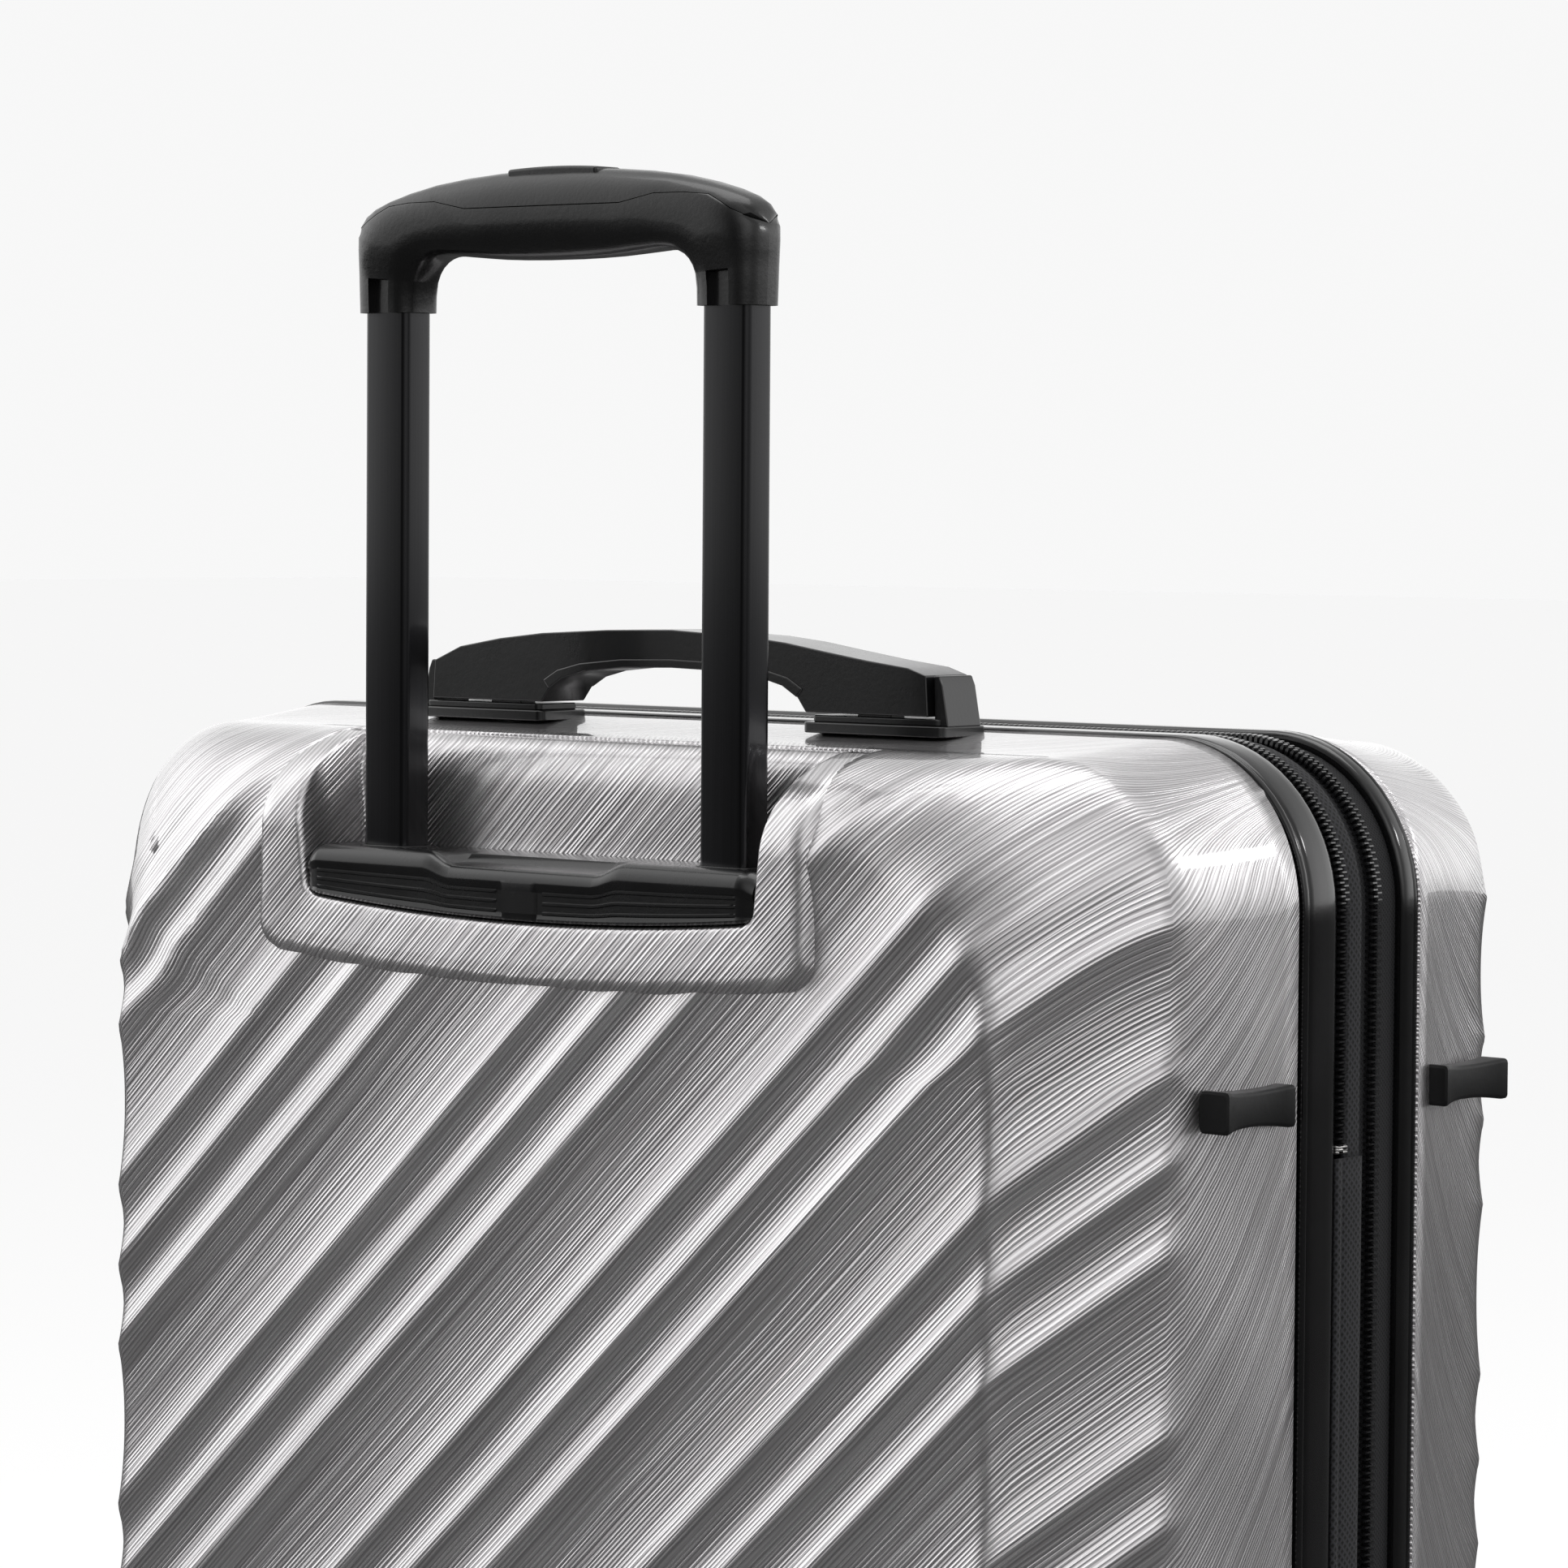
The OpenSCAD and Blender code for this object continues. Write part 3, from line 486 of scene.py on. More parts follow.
# steep along the bottom, easier on the sides, and the lower band leans back towards the recess
ease = 1 + 1.6 * np.abs(inward[:, 0:1])
lean = 1.4 * np.clip(inward[:, 1], 0, 1)
rows = []
for off, sunk in profile:
    spot = outer_edge + inward * off * ease
    rows.append(np.stack([spot[:, 0], panel_face(spot[:, 1]) - proud + sunk, spot[:, 1]], 1))
for share in (0.4, 0.7):
    spot = outer_edge + inward * band * share
    rows.append(np.stack([spot[:, 0], panel_face(spot[:, 1]) - proud + lean * share, spot[:, 1]], 1))
room = np.clip((recess_back(inner_edge[:, 1]) - panel_face(inner_edge[:, 1])) / 9.0, 0, 1)
for angle in np.linspace(0, math.pi / 2, 6):
    lip = 2.6 * room[:, None]
    spot = inner_edge - inward * lip * (1 - math.sin(angle))
    face = panel_face(spot[:, 1]) - proud + lean + lip[:, 0] * (1 - math.cos(angle))
    rows.append(np.stack([spot[:, 0], face, spot[:, 1]], 1))
start = rows[-1][:, 1]
for share in (0.35, 0.7, 1.0):
    deep = start + (recess_back(inner_edge[:, 1]) - 2.5 * room - start) * share
    rows.append(np.stack([inner_edge[:, 0], deep, inner_edge[:, 1]], 1))
for angle in np.linspace(0, math.pi / 2, 5)[1:]:
    spot = inner_edge + inward * (2.5 * room * (1 - math.cos(angle)))[:, None]
    deep = recess_back(inner_edge[:, 1]) - 2.5 * room * (1 - math.sin(angle))
    rows.append(np.stack([spot[:, 0], deep, spot[:, 1]], 1))
frame_grid = np.stack(rows)

roll = np.linspace(0, math.pi / 2, 12)
wall_z = np.concatenate([np.linspace(686, ROLL_Z, 9)[:-1], ROLL_Z + ROLL_R * np.sin(roll), [745.6, 746.2]])
wall_y = np.concatenate([np.full(8, RECESS_BACK), RECESS_BACK + ROLL_R * (1 - np.cos(roll)), [-86.0, -80.0]])
widths = 109.5 + 7.0 * np.clip((wall_z - 686) / 60, 0, 1)
share = np.linspace(-1, 1, 41)
back_grid = np.stack([widths[:, None] * share[None, :], np.repeat(wall_y[:, None], 41, 1),
                      np.repeat(wall_z[:, None], 41, 1)], -1)
recess_points = np.concatenate([frame_grid.reshape(-1, 3), back_grid.reshape(-1, 3)])
recess_faces = np.concatenate([
    grid_faces(*frame_grid.shape[:2]),
    grid_faces(*back_grid.shape[:2]) + frame_grid.shape[0] * frame_grid.shape[1]])


def lined_up(points, lean=0.55):
    """Grain for a pressed part of the panel: the same diagonal lines, carried along into the depth."""
    over = math.sin(RIB_TURN) * points[:, 0] - math.cos(RIB_TURN) * (points[:, 2] - RIM_MID_Z)
    deep = points[:, 1] - BACK_PANEL
    along = math.cos(RIB_TURN) * points[:, 0] + math.sin(RIB_TURN) * points[:, 2]
    return np.stack([over + lean * deep, along + deep, np.clip(deep / 150, 0, 0.2)], 1)


recess = new_piece("trolley_recess", recess_points, recess_faces, silver, "back", [], "silver_shell",
                   lined_up(recess_points))

# ---------------------------------------------------------------------------
# The rim trims: glossy black extrusions clamped round the edge of each shell,
# with a thin bead next to the shell and a rolled edge at the zip.
# ---------------------------------------------------------------------------
PERIMETER = 2 * (2 * (RIM_HALF_H - RIM_R)) + 2 * (2 * (RIM_HALF_W - RIM_R)) + 2 * math.pi * RIM_R


def rim_at(run):
    """Places and outward directions in x and z on the case's outline, at distances along it from the right side's
    lower end, anticlockwise seen from behind: sides and quarter circles by turns."""
    side, top, bend = 2 * (RIM_HALF_H - RIM_R), 2 * (RIM_HALF_W - RIM_R), math.pi / 2 * RIM_R
    lengths = np.array([side, bend, top, bend, side, bend, top, bend])
    ends = np.concatenate([[0], np.cumsum(lengths)])
    run = np.mod(np.asarray(run, float), ends[-1])
    part = np.clip(np.searchsorted(ends, run, side="right") - 1, 0, 7)
    gone = run - ends[part]
    quarter = part // 2
    turn = np.where(part % 2 == 1, gone / RIM_R, 0) + quarter * math.pi / 2
    cx, cz = RIM_HALF_W - RIM_R, RIM_HALF_H - RIM_R
    corner_x = np.array([cx, cx, cx, -cx, -cx, -cx, -cx, cx])
    corner_z = np.array([-cz, cz, cz, cz, cz, -cz, -cz, -cz])
    nx, nz = np.cos(turn), np.sin(turn)
    straight = np.where(part % 2 == 0, gone, 0)
    x = corner_x[part] + RIM_R * nx - straight * nz
    z = corner_z[part] + RIM_R * nz + straight * nx
    return x, z + RIM_MID_Z, nx, nz


def round_rim(profile, start=0.0, end=PERIMETER, step=6.0):
    """A closed profile of (inset, y) carried along the outline: grid [profile, station], with grain (run, across)."""
    whole = end - start >= PERIMETER
    count = int(round((end - start) / step))
    run = np.linspace(start, end, count + 1)
    run = run[:-1] if whole else run
    x, z, nx, nz = rim_at(run)
    profile = np.asarray(profile, float)
    inset, y = profile[:, 0:1], profile[:, 1:2]
    points = np.stack([x - nx * inset, np.broadcast_to(y, (len(profile), len(run))), z - nz * inset], -1)
    width = np.concatenate([[0], np.cumsum(np.linalg.norm(np.diff(profile, axis=0), axis=1))])
    grain = np.stack(np.broadcast_arrays(run[None, :], width[:, None], profile[:, 1:2]), -1)
    faces = [grid_faces(len(profile), len(run), wrap_rows=True, wrap_cols=whole)]
    if not whole:
        ring = np.arange(len(profile)) * len(run)
        faces += [ring[None, :], ring[None, ::-1] + len(run) - 1]
    return points.reshape(-1, 3), faces, grain.reshape(-1, 3)


def facing_out(points, groups):
    """The same faces, all turned if the closed body's signed volume says that they face inwards."""
    volume = 0.0
    for faces in groups:
        corners = points[np.asarray(faces)]
        for k in range(1, corners.shape[1] - 1):
            volume += np.einsum("ij,ij->i", corners[:, 0], np.cross(corners[:, k], corners[:, k + 1])).sum()
    return groups if volume > 0 else [np.asarray(faces)[:, ::-1] for faces in groups]


def merged(*bodies):
    """Several closed bodies, each (points, faces), as one list of points and faces."""
    points, groups, base = [], [], 0
    for body_points, body_faces in bodies:
        body_points = np.asarray(body_points, float).reshape(-1, 3)
        groups += [np.asarray(faces) + base for faces in facing_out(body_points, body_faces)]
        points.append(body_points)
        base += len(body_points)
    return np.concatenate(points), groups


def gloss_black(name, base, rough, grain_scale, grain_depth, coat=0.0):
    """Black plastic: a faint grain, and small changes of shade and gloss from handling."""
    plastic = new_finish(name, Coat_Weight=coat, Coat_Roughness=0.12, Coat_IOR=1.5, Specular_IOR_Level=0.35)
    place = plastic.node("ShaderNodeTexCoord", out="Object")
    cloud = plastic.noise(place, 35.0, 3.0)
    grain = plastic.noise(place, grain_scale, 2.0, 0.6)
    colour = plastic.mix(cloud.step(0.3, 0.7), (base * 0.35, base * 0.35, base * 0.38, 1),
                         (base * 0.6, base * 0.6, base * 0.66, 1))
    return drive(plastic, Base_Color=colour, Roughness=rough + (cloud - 0.5) * 0.14 + (grain - 0.5) * 0.06,
                 Normal=plastic.bump(grain, grain_depth, 0.6))


trim_black = gloss_black("trim black", 0.005, 0.17, 900.0, 0.00002, coat=0.6)
BACK_TRIM = [(4.0, -29.55), (1.6, -29.5), (0.7, -29.3), (0.15, -28.7), (0.0, -27.9), (0.2, -27.0), (0.75, -26.5),
             (0.8, -26.0), (0.3, -25.4), (0.08, -24.2), (0.0, -20.0), (0.0, -16.0), (0.15, -13.0), (0.55, -11.2),
             (1.3, -10.0), (2.4, -9.55), (4.0, -9.6), (5.3, -10.6), (5.4, -34.4), (4.0, -34.5)]
FRONT_TRIM = [(4.0, 29.65), (2.3, 29.7), (1.1, 30.0), (0.35, 30.9), (0.05, 32.2), (0.0, 34.0), (0.1, 35.4),
              (0.6, 35.9), (0.6, 36.3), (0.15, 36.7), (0.1, 37.4), (0.7, 37.95), (2.0, 38.0), (4.0, 38.05),
              (4.0, 42.9), (5.4, 42.8), (5.3, 30.4)]
for name, profile, body in (("back_rim_trim", BACK_TRIM, "back"), ("front_rim_trim", FRONT_TRIM, "front")):
    points, faces, _ = round_rim(profile)
    new_piece(name, points, facing_out(points, faces), trim_black, body, [name], "rim_plastic", creases=40)

# ---------------------------------------------------------------------------
# The zips: woven tapes sewn to the trims and to the lid band, and on each
# tape's edge a row of glossy nylon teeth that mesh with the row opposite.
# ---------------------------------------------------------------------------
PITCH = 2.42
MAIN_START, MAIN_END = 607.0 - 112.0, PERIMETER + 197.0 - 112.0


def woven(name, dark, light, pitch, gloss=0.75):
    """Woven tape: two sets of yarns crossing in a twill, along the grain, with a little fuzz."""
    cloth = new_finish(name, Sheen_Weight=0.05, Sheen_Roughness=0.5, Specular_IOR_Level=0.25)
    run, across, _ = cloth.xyz(cloth.node("ShaderNodeAttribute", {"attribute_name": "grain"}, out="Vector"))
    turn = 2 * math.pi / pitch
    warp = ((run + across) * turn * 0.5).sin() * 0.5 + 0.5
    weft = ((run - across * 1.1) * turn * 0.5).sin() * 0.5 + 0.5
    fuzz = cloth.noise(cloth.node("ShaderNodeTexCoord", out="Object"), 1500.0, 2.0, 0.7)
    height = warp.maths("MAXIMUM", warp, weft) * 0.8 + fuzz * 0.3
    colour = cloth.mix(height.step(0.35, 1.0), (*dark, 1), (*light, 1))
    return drive(cloth, Base_Color=colour, Roughness=gloss + (fuzz - 0.5) * 0.2,
                 Normal=cloth.bump(height, 0.00022, 0.8))


tape_cloth = woven("zip tape", (0.003, 0.003, 0.003), (0.014, 0.014, 0.016), 0.9)
nylon = gloss_black("zip teeth nylon", 0.012, 0.16, 1200.0, 0.00002, coat=1.0)


def tooth_row(runs, y_root, y_tip):
    """Zip teeth at distances along the outline: a small block from root to tip with a narrower, rounded crown."""
    x, z, nx, nz = rim_at(runs)
    lo, hi = min(y_root, y_tip), max(y_root, y_tip)
    shape = []
    for half, cut, inset in ((0.60, 0.0, 4.3), (0.62, 0.0, 1.75), (0.30, 0.55, 0.72)):
        shape += [(-half, lo + cut, inset), (half, lo + cut, inset),
                  (half, hi - cut, inset), (-half, hi - cut, inset)]
    shape = np.array(shape)
    t, y, inset = shape[:, 0], shape[:, 1], shape[:, 2]
    points = np.stack([x[:, None] - nz[:, None] * t - nx[:, None] * inset,
                       np.broadcast_to(y, (len(runs), 12)),
                       z[:, None] + nx[:, None] * t - nz[:, None] * inset], -1).reshape(-1, 3)
    cell = [[3, 2, 1, 0], [8, 9, 10, 11]]
    for base in (0, 4):
        cell += [[base + i, base + (i + 1) % 4, base + (i + 1) % 4 + 4, base + i + 4] for i in range(4)]
    faces = (np.array(cell)[None] + 12 * np.arange(len(runs))[:, None, None]).reshape(-1, 4)
    return points, facing_out(points, [faces])


def zip_half(name, tape, ends, y_root, y_tip, phase, body):
    points, faces, grain = round_rim(tape, *ends)
    faces = facing_out(points, faces)
    count = int((ends[1] - ends[0]) / PITCH)
    runs = ends[0] + (np.arange(count) + phase) * ((ends[1] - ends[0]) / count)
    teeth, tooth_faces = tooth_row(runs, y_root, y_tip)
    piece = new_piece(name, points, faces, tape_cloth, body, [name], "zip_coil", grain=grain, creases=50)
    row = new_piece(name + "_teeth", teeth, tooth_faces, nylon, body, [], "zip_coil", creases=50)
    return piece, row


def tape_profile(y0, y1, inset=4.15):
    return [(inset, y0), (inset, (2 * y0 + y1) / 3), (inset, (y0 + 2 * y1) / 3), (inset, y1), (inset + 0.9, y1),
            (inset + 0.9, y0)]


MAIN = (MAIN_START, MAIN_END)
ROUND = (0.0, PERIMETER)
zip_half("main_zip_back", tape_profile(-15.9, -5.2), MAIN, -7.95, -4.35, 0.25, "back")
zip_half("main_zip_lid", tape_profile(-4.8, 6.0), MAIN, -2.05, -5.65, 0.75, "lid")
zip_half("zip_expander_lid", tape_profile(6.5, 14.3), ROUND, 11.55, 15.15, 0.25, "lid")
zip_half("zip_expander_front", tape_profile(14.7, 33.5), ROUND, 17.45, 13.85, 0.75, "front")
def mill_finish(name, colour):
    """Bare drawn metal: lines along its length and dull patches."""
    metal = new_finish(name, Metallic=1.0)
    place = metal.node("ShaderNodeTexCoord", out="Object")
    x, y, z = metal.xyz(place)
    draw = metal.noise(metal.node("ShaderNodeCombineXYZ", None, {"X": x * 1800.0, "Y": y * 1800.0, "Z": z * 12.0}),
                       1.0, 2.0)
    dull = metal.noise(place, 30.0, 3.0)
    shade = metal.mix(draw, (*[c * 0.8 for c in colour], 1), (*colour, 1))
    return drive(metal, Base_Color=shade, Roughness=0.28 + dull * 0.25, Normal=metal.bump(draw, 0.00004, 0.5))


mill = mill_finish("mill finish aluminium", (0.62, 0.61, 0.60))
for name, run in (("zip_stop_top", MAIN_START + 1.5), ("zip_stop_low", MAIN_END - 1.5)):
    points, faces = tooth_row(np.array([run, run + 0.9, run - 0.9]), -8.1, -1.9)
    new_piece(name, points, faces, mill, "back", [], "zip_metal")

# ---------------------------------------------------------------------------
# The lid band between the zips, the expansion gusset and the fabric hinge on
# the right side: cloth, sewn on.
# ---------------------------------------------------------------------------
band_cloth = woven("woven band", (0.003, 0.003, 0.003), (0.020, 0.020, 0.023), 1.5)
BAND = [(4.05, -2.5), (2.9, -2.55), (2.35, -1.9), (2.1, -0.4), (2.0, 1.6), (2.0, 3.4), (2.1, 5.2), (2.35, 6.7),
        (2.9, 7.35), (4.05, 7.3)]
points, faces, grain = round_rim(BAND)
lid_band = new_piece("lid_band", points, facing_out(points, faces), band_cloth, "lid", ["lid_band"], "black_weave",
                     grain=grain)
GUSSET = [(10.4, 0.6), (10.4, 20), (10.4, 40), (10.4, 56.4), (11.2, 56.4), (11.2, 40), (11.2, 20), (11.2, 1.9),
          (5.2, 1.9), (5.2, 0.6)]
points, faces, grain = round_rim(GUSSET)
gusset = new_piece("gusset", points, facing_out(points, faces), band_cloth, "lid", ["gusset"], "black_weave",
                   grain=grain)
across = np.array([(1.75, -9.1), (0.9, -9.05), (0.45, -8.4), (0.35, -6.9), (0.6, -5.6), (0.9, -5.1), (0.6, -4.6),
                   (0.4, -2.5), (0.35, 0.0), (0.35, 3.0), (0.5, 5.4), (0.9, 6.6), (1.75, 6.75)])
points, faces, grain = round_rim(across, 86.5, 493.5, 12.0)
hinge_strip = new_piece("hinge_tape", points, facing_out(points, faces), band_cloth, "hinge_tape", ["hinge_tape"],
                        "black_weave", grain=grain)

# ---------------------------------------------------------------------------
# Zip sliders and pulls: enamelled die-cast metal. A pull hangs from a bar in
# the slider's bridge and swings on it.
# ---------------------------------------------------------------------------


def prism(outline, low, high, axis="y"):
    """A flat outline of two coordinates pushed along the third axis from low to high, as a closed body."""
    outline = np.asarray(outline, float)
    count = len(outline)
    order = {"x": (2, 0, 1), "y": (0, 2, 1), "z": (0, 1, 2)}[axis]
    flat = np.concatenate([np.c_[outline, np.full(count, low)], np.c_[outline, np.full(count, high)]])
    points = flat[:, order]
    ring = np.arange(count)
    sides = np.stack([ring, (ring + 1) % count, (ring + 1) % count + count, ring + count], 1)
    return points, [sides, ring[None, ::-1], ring[None] + count]


def rectangle(x0, x1, z0, z1, corner=0.0, steps=4):
    """The outline of a rectangle with round corners."""
    if corner == 0:
        return np.array([(x0, z0), (x1, z0), (x1, z1), (x0, z1)], float)
    turn = np.linspace(0, math.pi / 2, steps + 1)
    parts = []
    for cx, cz, start in ((x1 - corner, z0 + corner, -90), (x1 - corner, z1 - corner, 0),
                          (x0 + corner, z1 - corner, 90), (x0 + corner, z0 + corner, 180)):
        angle = turn + math.radians(start)
        parts.append(np.stack([cx + corner * np.cos(angle), cz + corner * np.sin(angle)], 1))
    return np.concatenate(parts)


def eased(piece, width, segments=3):
    """Rounds the piece's sharp edges."""
    edge = piece.modifiers.new("eased edges", "BEVEL")
    edge.width, edge.segments, edge.limit_method, edge.angle_limit = width * MM, segments, "ANGLE", math.radians(34)
    edge.harden_normals = True
    return piece


enamel = gloss_black("black enamel", 0.011, 0.24, 700.0, 0.00003, coat=0.7)
OUT_X = -RIM_HALF_W + 0.3
for label, y, z, body in (("main_slider_a", -5.0, 520.0, "slider_a"), ("main_slider_b", -5.0, 478.0, "slider_b"),
                          ("exp_slider", 14.5, 160.0, "exp_slider")):
    plate = prism([(y - 3.9, z - 6), (y + 3.9, z - 6), (y + 3.9, z + 2), (y + 2.3, z + 6), (y - 2.3, z + 6),
                   (y - 3.9, z + 2)], OUT_X - 2.2, OUT_X, "x")
    bridge = prism([(OUT_X - 2.1, z - 2.6), (OUT_X - 4.6, z - 2.6), (OUT_X - 5.2, z - 1.6), (OUT_X - 5.2, z + 1.6),
                    (OUT_X - 4.6, z + 2.6), (OUT_X - 2.1, z + 2.6), (OUT_X - 2.1, z + 1.4), (OUT_X - 3.9, z + 1.4),
                    (OUT_X - 3.9, z - 1.4), (OUT_X - 2.1, z - 1.4)], y - 1.6, y + 1.6)
    eased(new_piece(label, *merged(plate, bridge), enamel, body, [label], "zip_metal"), 0.35, 2)
for label, y, z, body in (("main_pull_a", -5.0, 520.0, "pull_a"), ("main_pull_b", -5.0, 478.0, "pull_b"),
                          ("exp_pull", 14.5, 160.0, "exp_pull")):
    pin_x = OUT_X - 3.1
    around = np.linspace(0, 2 * math.pi, 13)[:-1]
    bar = prism(np.stack([pin_x + 0.55 * np.cos(around), z + 0.55 * np.sin(around)], 1), y - 3.4, y + 3.4)
    sides = [prism(rectangle(y + s * 2.7 - 0.7, y + s * 2.7 + 0.7, z - 5, z), pin_x - 0.55, pin_x + 0.55, "x")
             for s in (-1, 1)]
    leaf = prism([(y - 3.4, z - 3.6), (y - 3.4, z - 18), (y - 2.9, z - 25), (y - 2.0, z - 26), (y + 2.0, z - 26),
                  (y + 2.9, z - 25), (y + 3.4, z - 18), (y + 3.4, z - 3.6)], pin_x - 0.55, pin_x + 0.55, "x")
    pad = prism(rectangle(y - 2.0, y + 2.0, z - 22, z - 8, 1.2), pin_x - 0.95, pin_x + 0.5, "x")
    eased(new_piece(label, *merged(bar, *sides, leaf, pad), enamel, body, [label], "zip_metal"), 0.25, 2)

# ---------------------------------------------------------------------------
# The trolley: black anodised tubes that slide in sleeves inside the back half,
# with a spring-pin lock at their feet worked by rods from the grip's button.
# ---------------------------------------------------------------------------
TUBE_X, TUBE_Y = 84.0, -119.0


def anodised():
    """Black anodised extrusion: fine draw lines along the tube and a few rubbed spots."""
    metal = new_finish("anodised black", Metallic=1.0, Coat_Weight=0.5, Coat_Roughness=0.12)
    x, y, z = metal.xyz(metal.node("ShaderNodeTexCoord", out="Object"))
    at = metal.node("ShaderNodeCombineXYZ", None, {"X": x * 2600.0, "Y": y * 2600.0, "Z": z * 9.0})
    draw = metal.noise(at, 1.0, 2.0, 0.6)
    rubbed = metal.noise(metal.node("ShaderNodeTexCoord", out="Object"), 18.0, 4.0, 0.6).step(0.55, 0.8)
    colour = metal.mix(draw, (0.007, 0.007, 0.008, 1), (0.017, 0.017, 0.019, 1))
    return drive(metal, Base_Color=colour, Roughness=0.27 + draw * 0.10 + rubbed * 0.06,
                 Normal=metal.bump(draw, 0.00003, 0.5))


anodised_black = anodised()
section = rectangle(-11, 11, -7, 7, 2.7, 5)
# the long faces are very slightly crowned
section[:, 1] += np.sign(section[:, 1]) * 0.25 * (1 - (section[:, 0] / 11) ** 2)
tubes = []
for side in (-1, 1):
    heights = np.array([330.0, 500.0, 700.0, 921.0])
    rings = np.stack([np.c_[section[:, 0] + side * TUBE_X, section[:, 1] + TUBE_Y, np.full(len(section), h)]
                      for h in heights])
    ring = np.arange(len(section))
    tubes.append((rings.reshape(-1, 3), [grid_faces(*rings.shape[:2], wrap_cols=True), ring[None],
                                         ring[None] + 3 * len(section)]))
new_piece("trolley_tubes", *merged(*tubes), anodised_black, "trolley", ["trolley_tubes"], "tube_black", creases=25)


def repaint(finish, *names):
    """Gives CAD nodes that keep their own shape a finish."""
    for node_name in names:
        mesh = cad_nodes[node_name].data
        mesh.materials.clear()
        mesh.materials.append(finish)


repaint(mill, "trolley_sleeves", "push_rods", "lock_pin_l", "lock_pin_r")
grained_black = gloss_black("grained black", 0.014, 0.40, 520.0, 0.00008)
repaint(grained_black, "trolley_foot", "tube_blocks")

# ---------------------------------------------------------------------------
# The grip: a moulded body that closes over the tube ends, with a hand cover
# and the release button let into its top. A slot in each leg shows the tube.
# ---------------------------------------------------------------------------
STATIONS = np.array([
    # outer x, outer z, inner x, inner z, half depth, squareness
    (-97.9, 901.5, -70.2, 901.5, 10.6, 3.4), (-98.1, 908.0, -70.1, 907.6, 10.7, 3.4),
    (-98.3, 914.4, -69.4, 912.6, 11.0, 3.3), (-98.3, 914.9, -69.3, 912.9, 11.0, 3.3),
    (-98.6, 920.0, -68.0, 915.6, 11.5, 3.1), (-98.8, 925.0, -66.2, 917.8, 12.0, 3.0),
    (-98.6, 930.0, -63.8, 919.6, 12.4, 3.0), (-97.4, 934.0, -61.0, 920.8, 12.5, 3.0),
    (-94.6, 937.5, -58.0, 921.5, 12.5, 3.0), (-90.0, 940.3, -54.5, 921.8, 12.5, 3.0),
    (-83.0, 942.9, -50.0, 921.7, 12.5, 2.9), (-73.0, 945.6, -44.0, 921.2, 12.5, 2.8),
    (-60.0, 948.2, -36.5, 920.6, 12.5, 2.7), (-45.0, 950.1, -28.0, 920.0, 12.5, 2.6),
    (-28.0, 951.4, -18.0, 919.6, 12.5, 2.5), (-12.0, 951.9, -8.0, 919.4, 12.5, 2.5)])
STATIONS = np.concatenate([STATIONS, STATIONS[::-1] * np.array([-1, 1, -1, 1, 1, 1])])
FRONT_SHARE = np.array([1, .985, .94, .86, .74, .60, .48, .365, .345, .2, 0, -.2, -.345, -.365, -.5, -.64, -.78, -.89,
                        -.955, -.99, -1.0])


def seam_height(x):
    """Height of the line between the grip's body and its cover: level in the middle, a small step up, then down
    to the corners."""
    x = np.abs(x)
    return 938.4 + 3.0 * smooth((x - 44) / 5) - 9.5 * smooth((x - 74) / 26)


def grip_rings(stations, shares_from, shares_to, shares):
    """Rings round the grip. Each station spans from its inner to its outer edge; a share is the place between them,
    -1 inner and 1 outer, and the half depth there is a superellipse's. shares_from and shares_to are the ends of
    the part of the ring that is wanted, in shares, one for each station."""
    ox, oz, ix, iz, deep, square = stations.T[:, :, None]
    c = shares_from[:, None] + (shares_to - shares_from)[:, None] * (shares[None] + 1) / 2
    half = deep * np.maximum(1 - np.abs(c) ** square, 0) ** (1 / square)
    x, z = (ox + ix) / 2 + c * (ox - ix) / 2, (oz + iz) / 2 + c * (oz - iz) / 2
    front = np.stack([x, TUBE_Y - half, z], -1)
    back = np.stack([x, TUBE_Y + half, z], -1)
    return front, back, c


mid_x, mid_z = (STATIONS[:, 0] + STATIONS[:, 2]) / 2, (STATIONS[:, 1] + STATIONS[:, 3]) / 2
span_x, span_z = (STATIONS[:, 0] - STATIONS[:, 2]) / 2, (STATIONS[:, 1] - STATIONS[:, 3]) / 2
cut = np.zeros(len(STATIONS))
for _ in range(12):
    want = (seam_height(mid_x + cut * span_x) - mid_z) / np.maximum(span_z, 1e-3)
    cut = 0.5 * cut + 0.5 * np.clip(want, -1, 1)
cut[:6], cut[-6:] = 1.0, 1.0
front, back, c = grip_rings(STATIONS, np.full(len(cut), -1.0), cut, FRONT_SHARE)
# the seam line: both edges are pulled in a little
front[6:-6, 0, 1] += 0.7
back[6:-6, 0, 1] -= 0.7
# the slot in each leg, down to the tube's face
leg = (STATIONS[:, 1] < 914.6) & (STATIONS[:, 1] > 900)
slot = leg[:, None] & (np.abs(c) < 0.35)
front[..., 1] = np.where(slot, TUBE_Y - 7.4, front[..., 1])
rings = np.concatenate([front, back[:, ::-1][:, 1:]], 1)
count = rings.shape[1]
ring = np.arange(count)
body_mesh = (rings.reshape(-1, 3), [grid_faces(len(rings), count, wrap_cols=True), ring[None],
                                    ring[None] + (len(rings) - 1) * count])
grip_plastic = gloss_black("grip black", 0.005, 0.33, 620.0, 0.00014, coat=0.35)
grip = new_piece("grip_body", *merged(body_mesh), grip_plastic, "trolley", ["grip_body"], "grip_black", creases=45)
used = np.flatnonzero(cut < 0.97)
used = np.arange(used[0] - 1, used[-1] + 2)
shares = np.sin(np.linspace(-1, 1, 15) * math.pi / 2)
front, back, c = grip_rings(STATIONS[used], np.minimum(cut[used] + 0.004, 1.0), np.ones(len(used)), shares)
front[:, 0, 1] += 0.5
back[:, 0, 1] -= 0.5
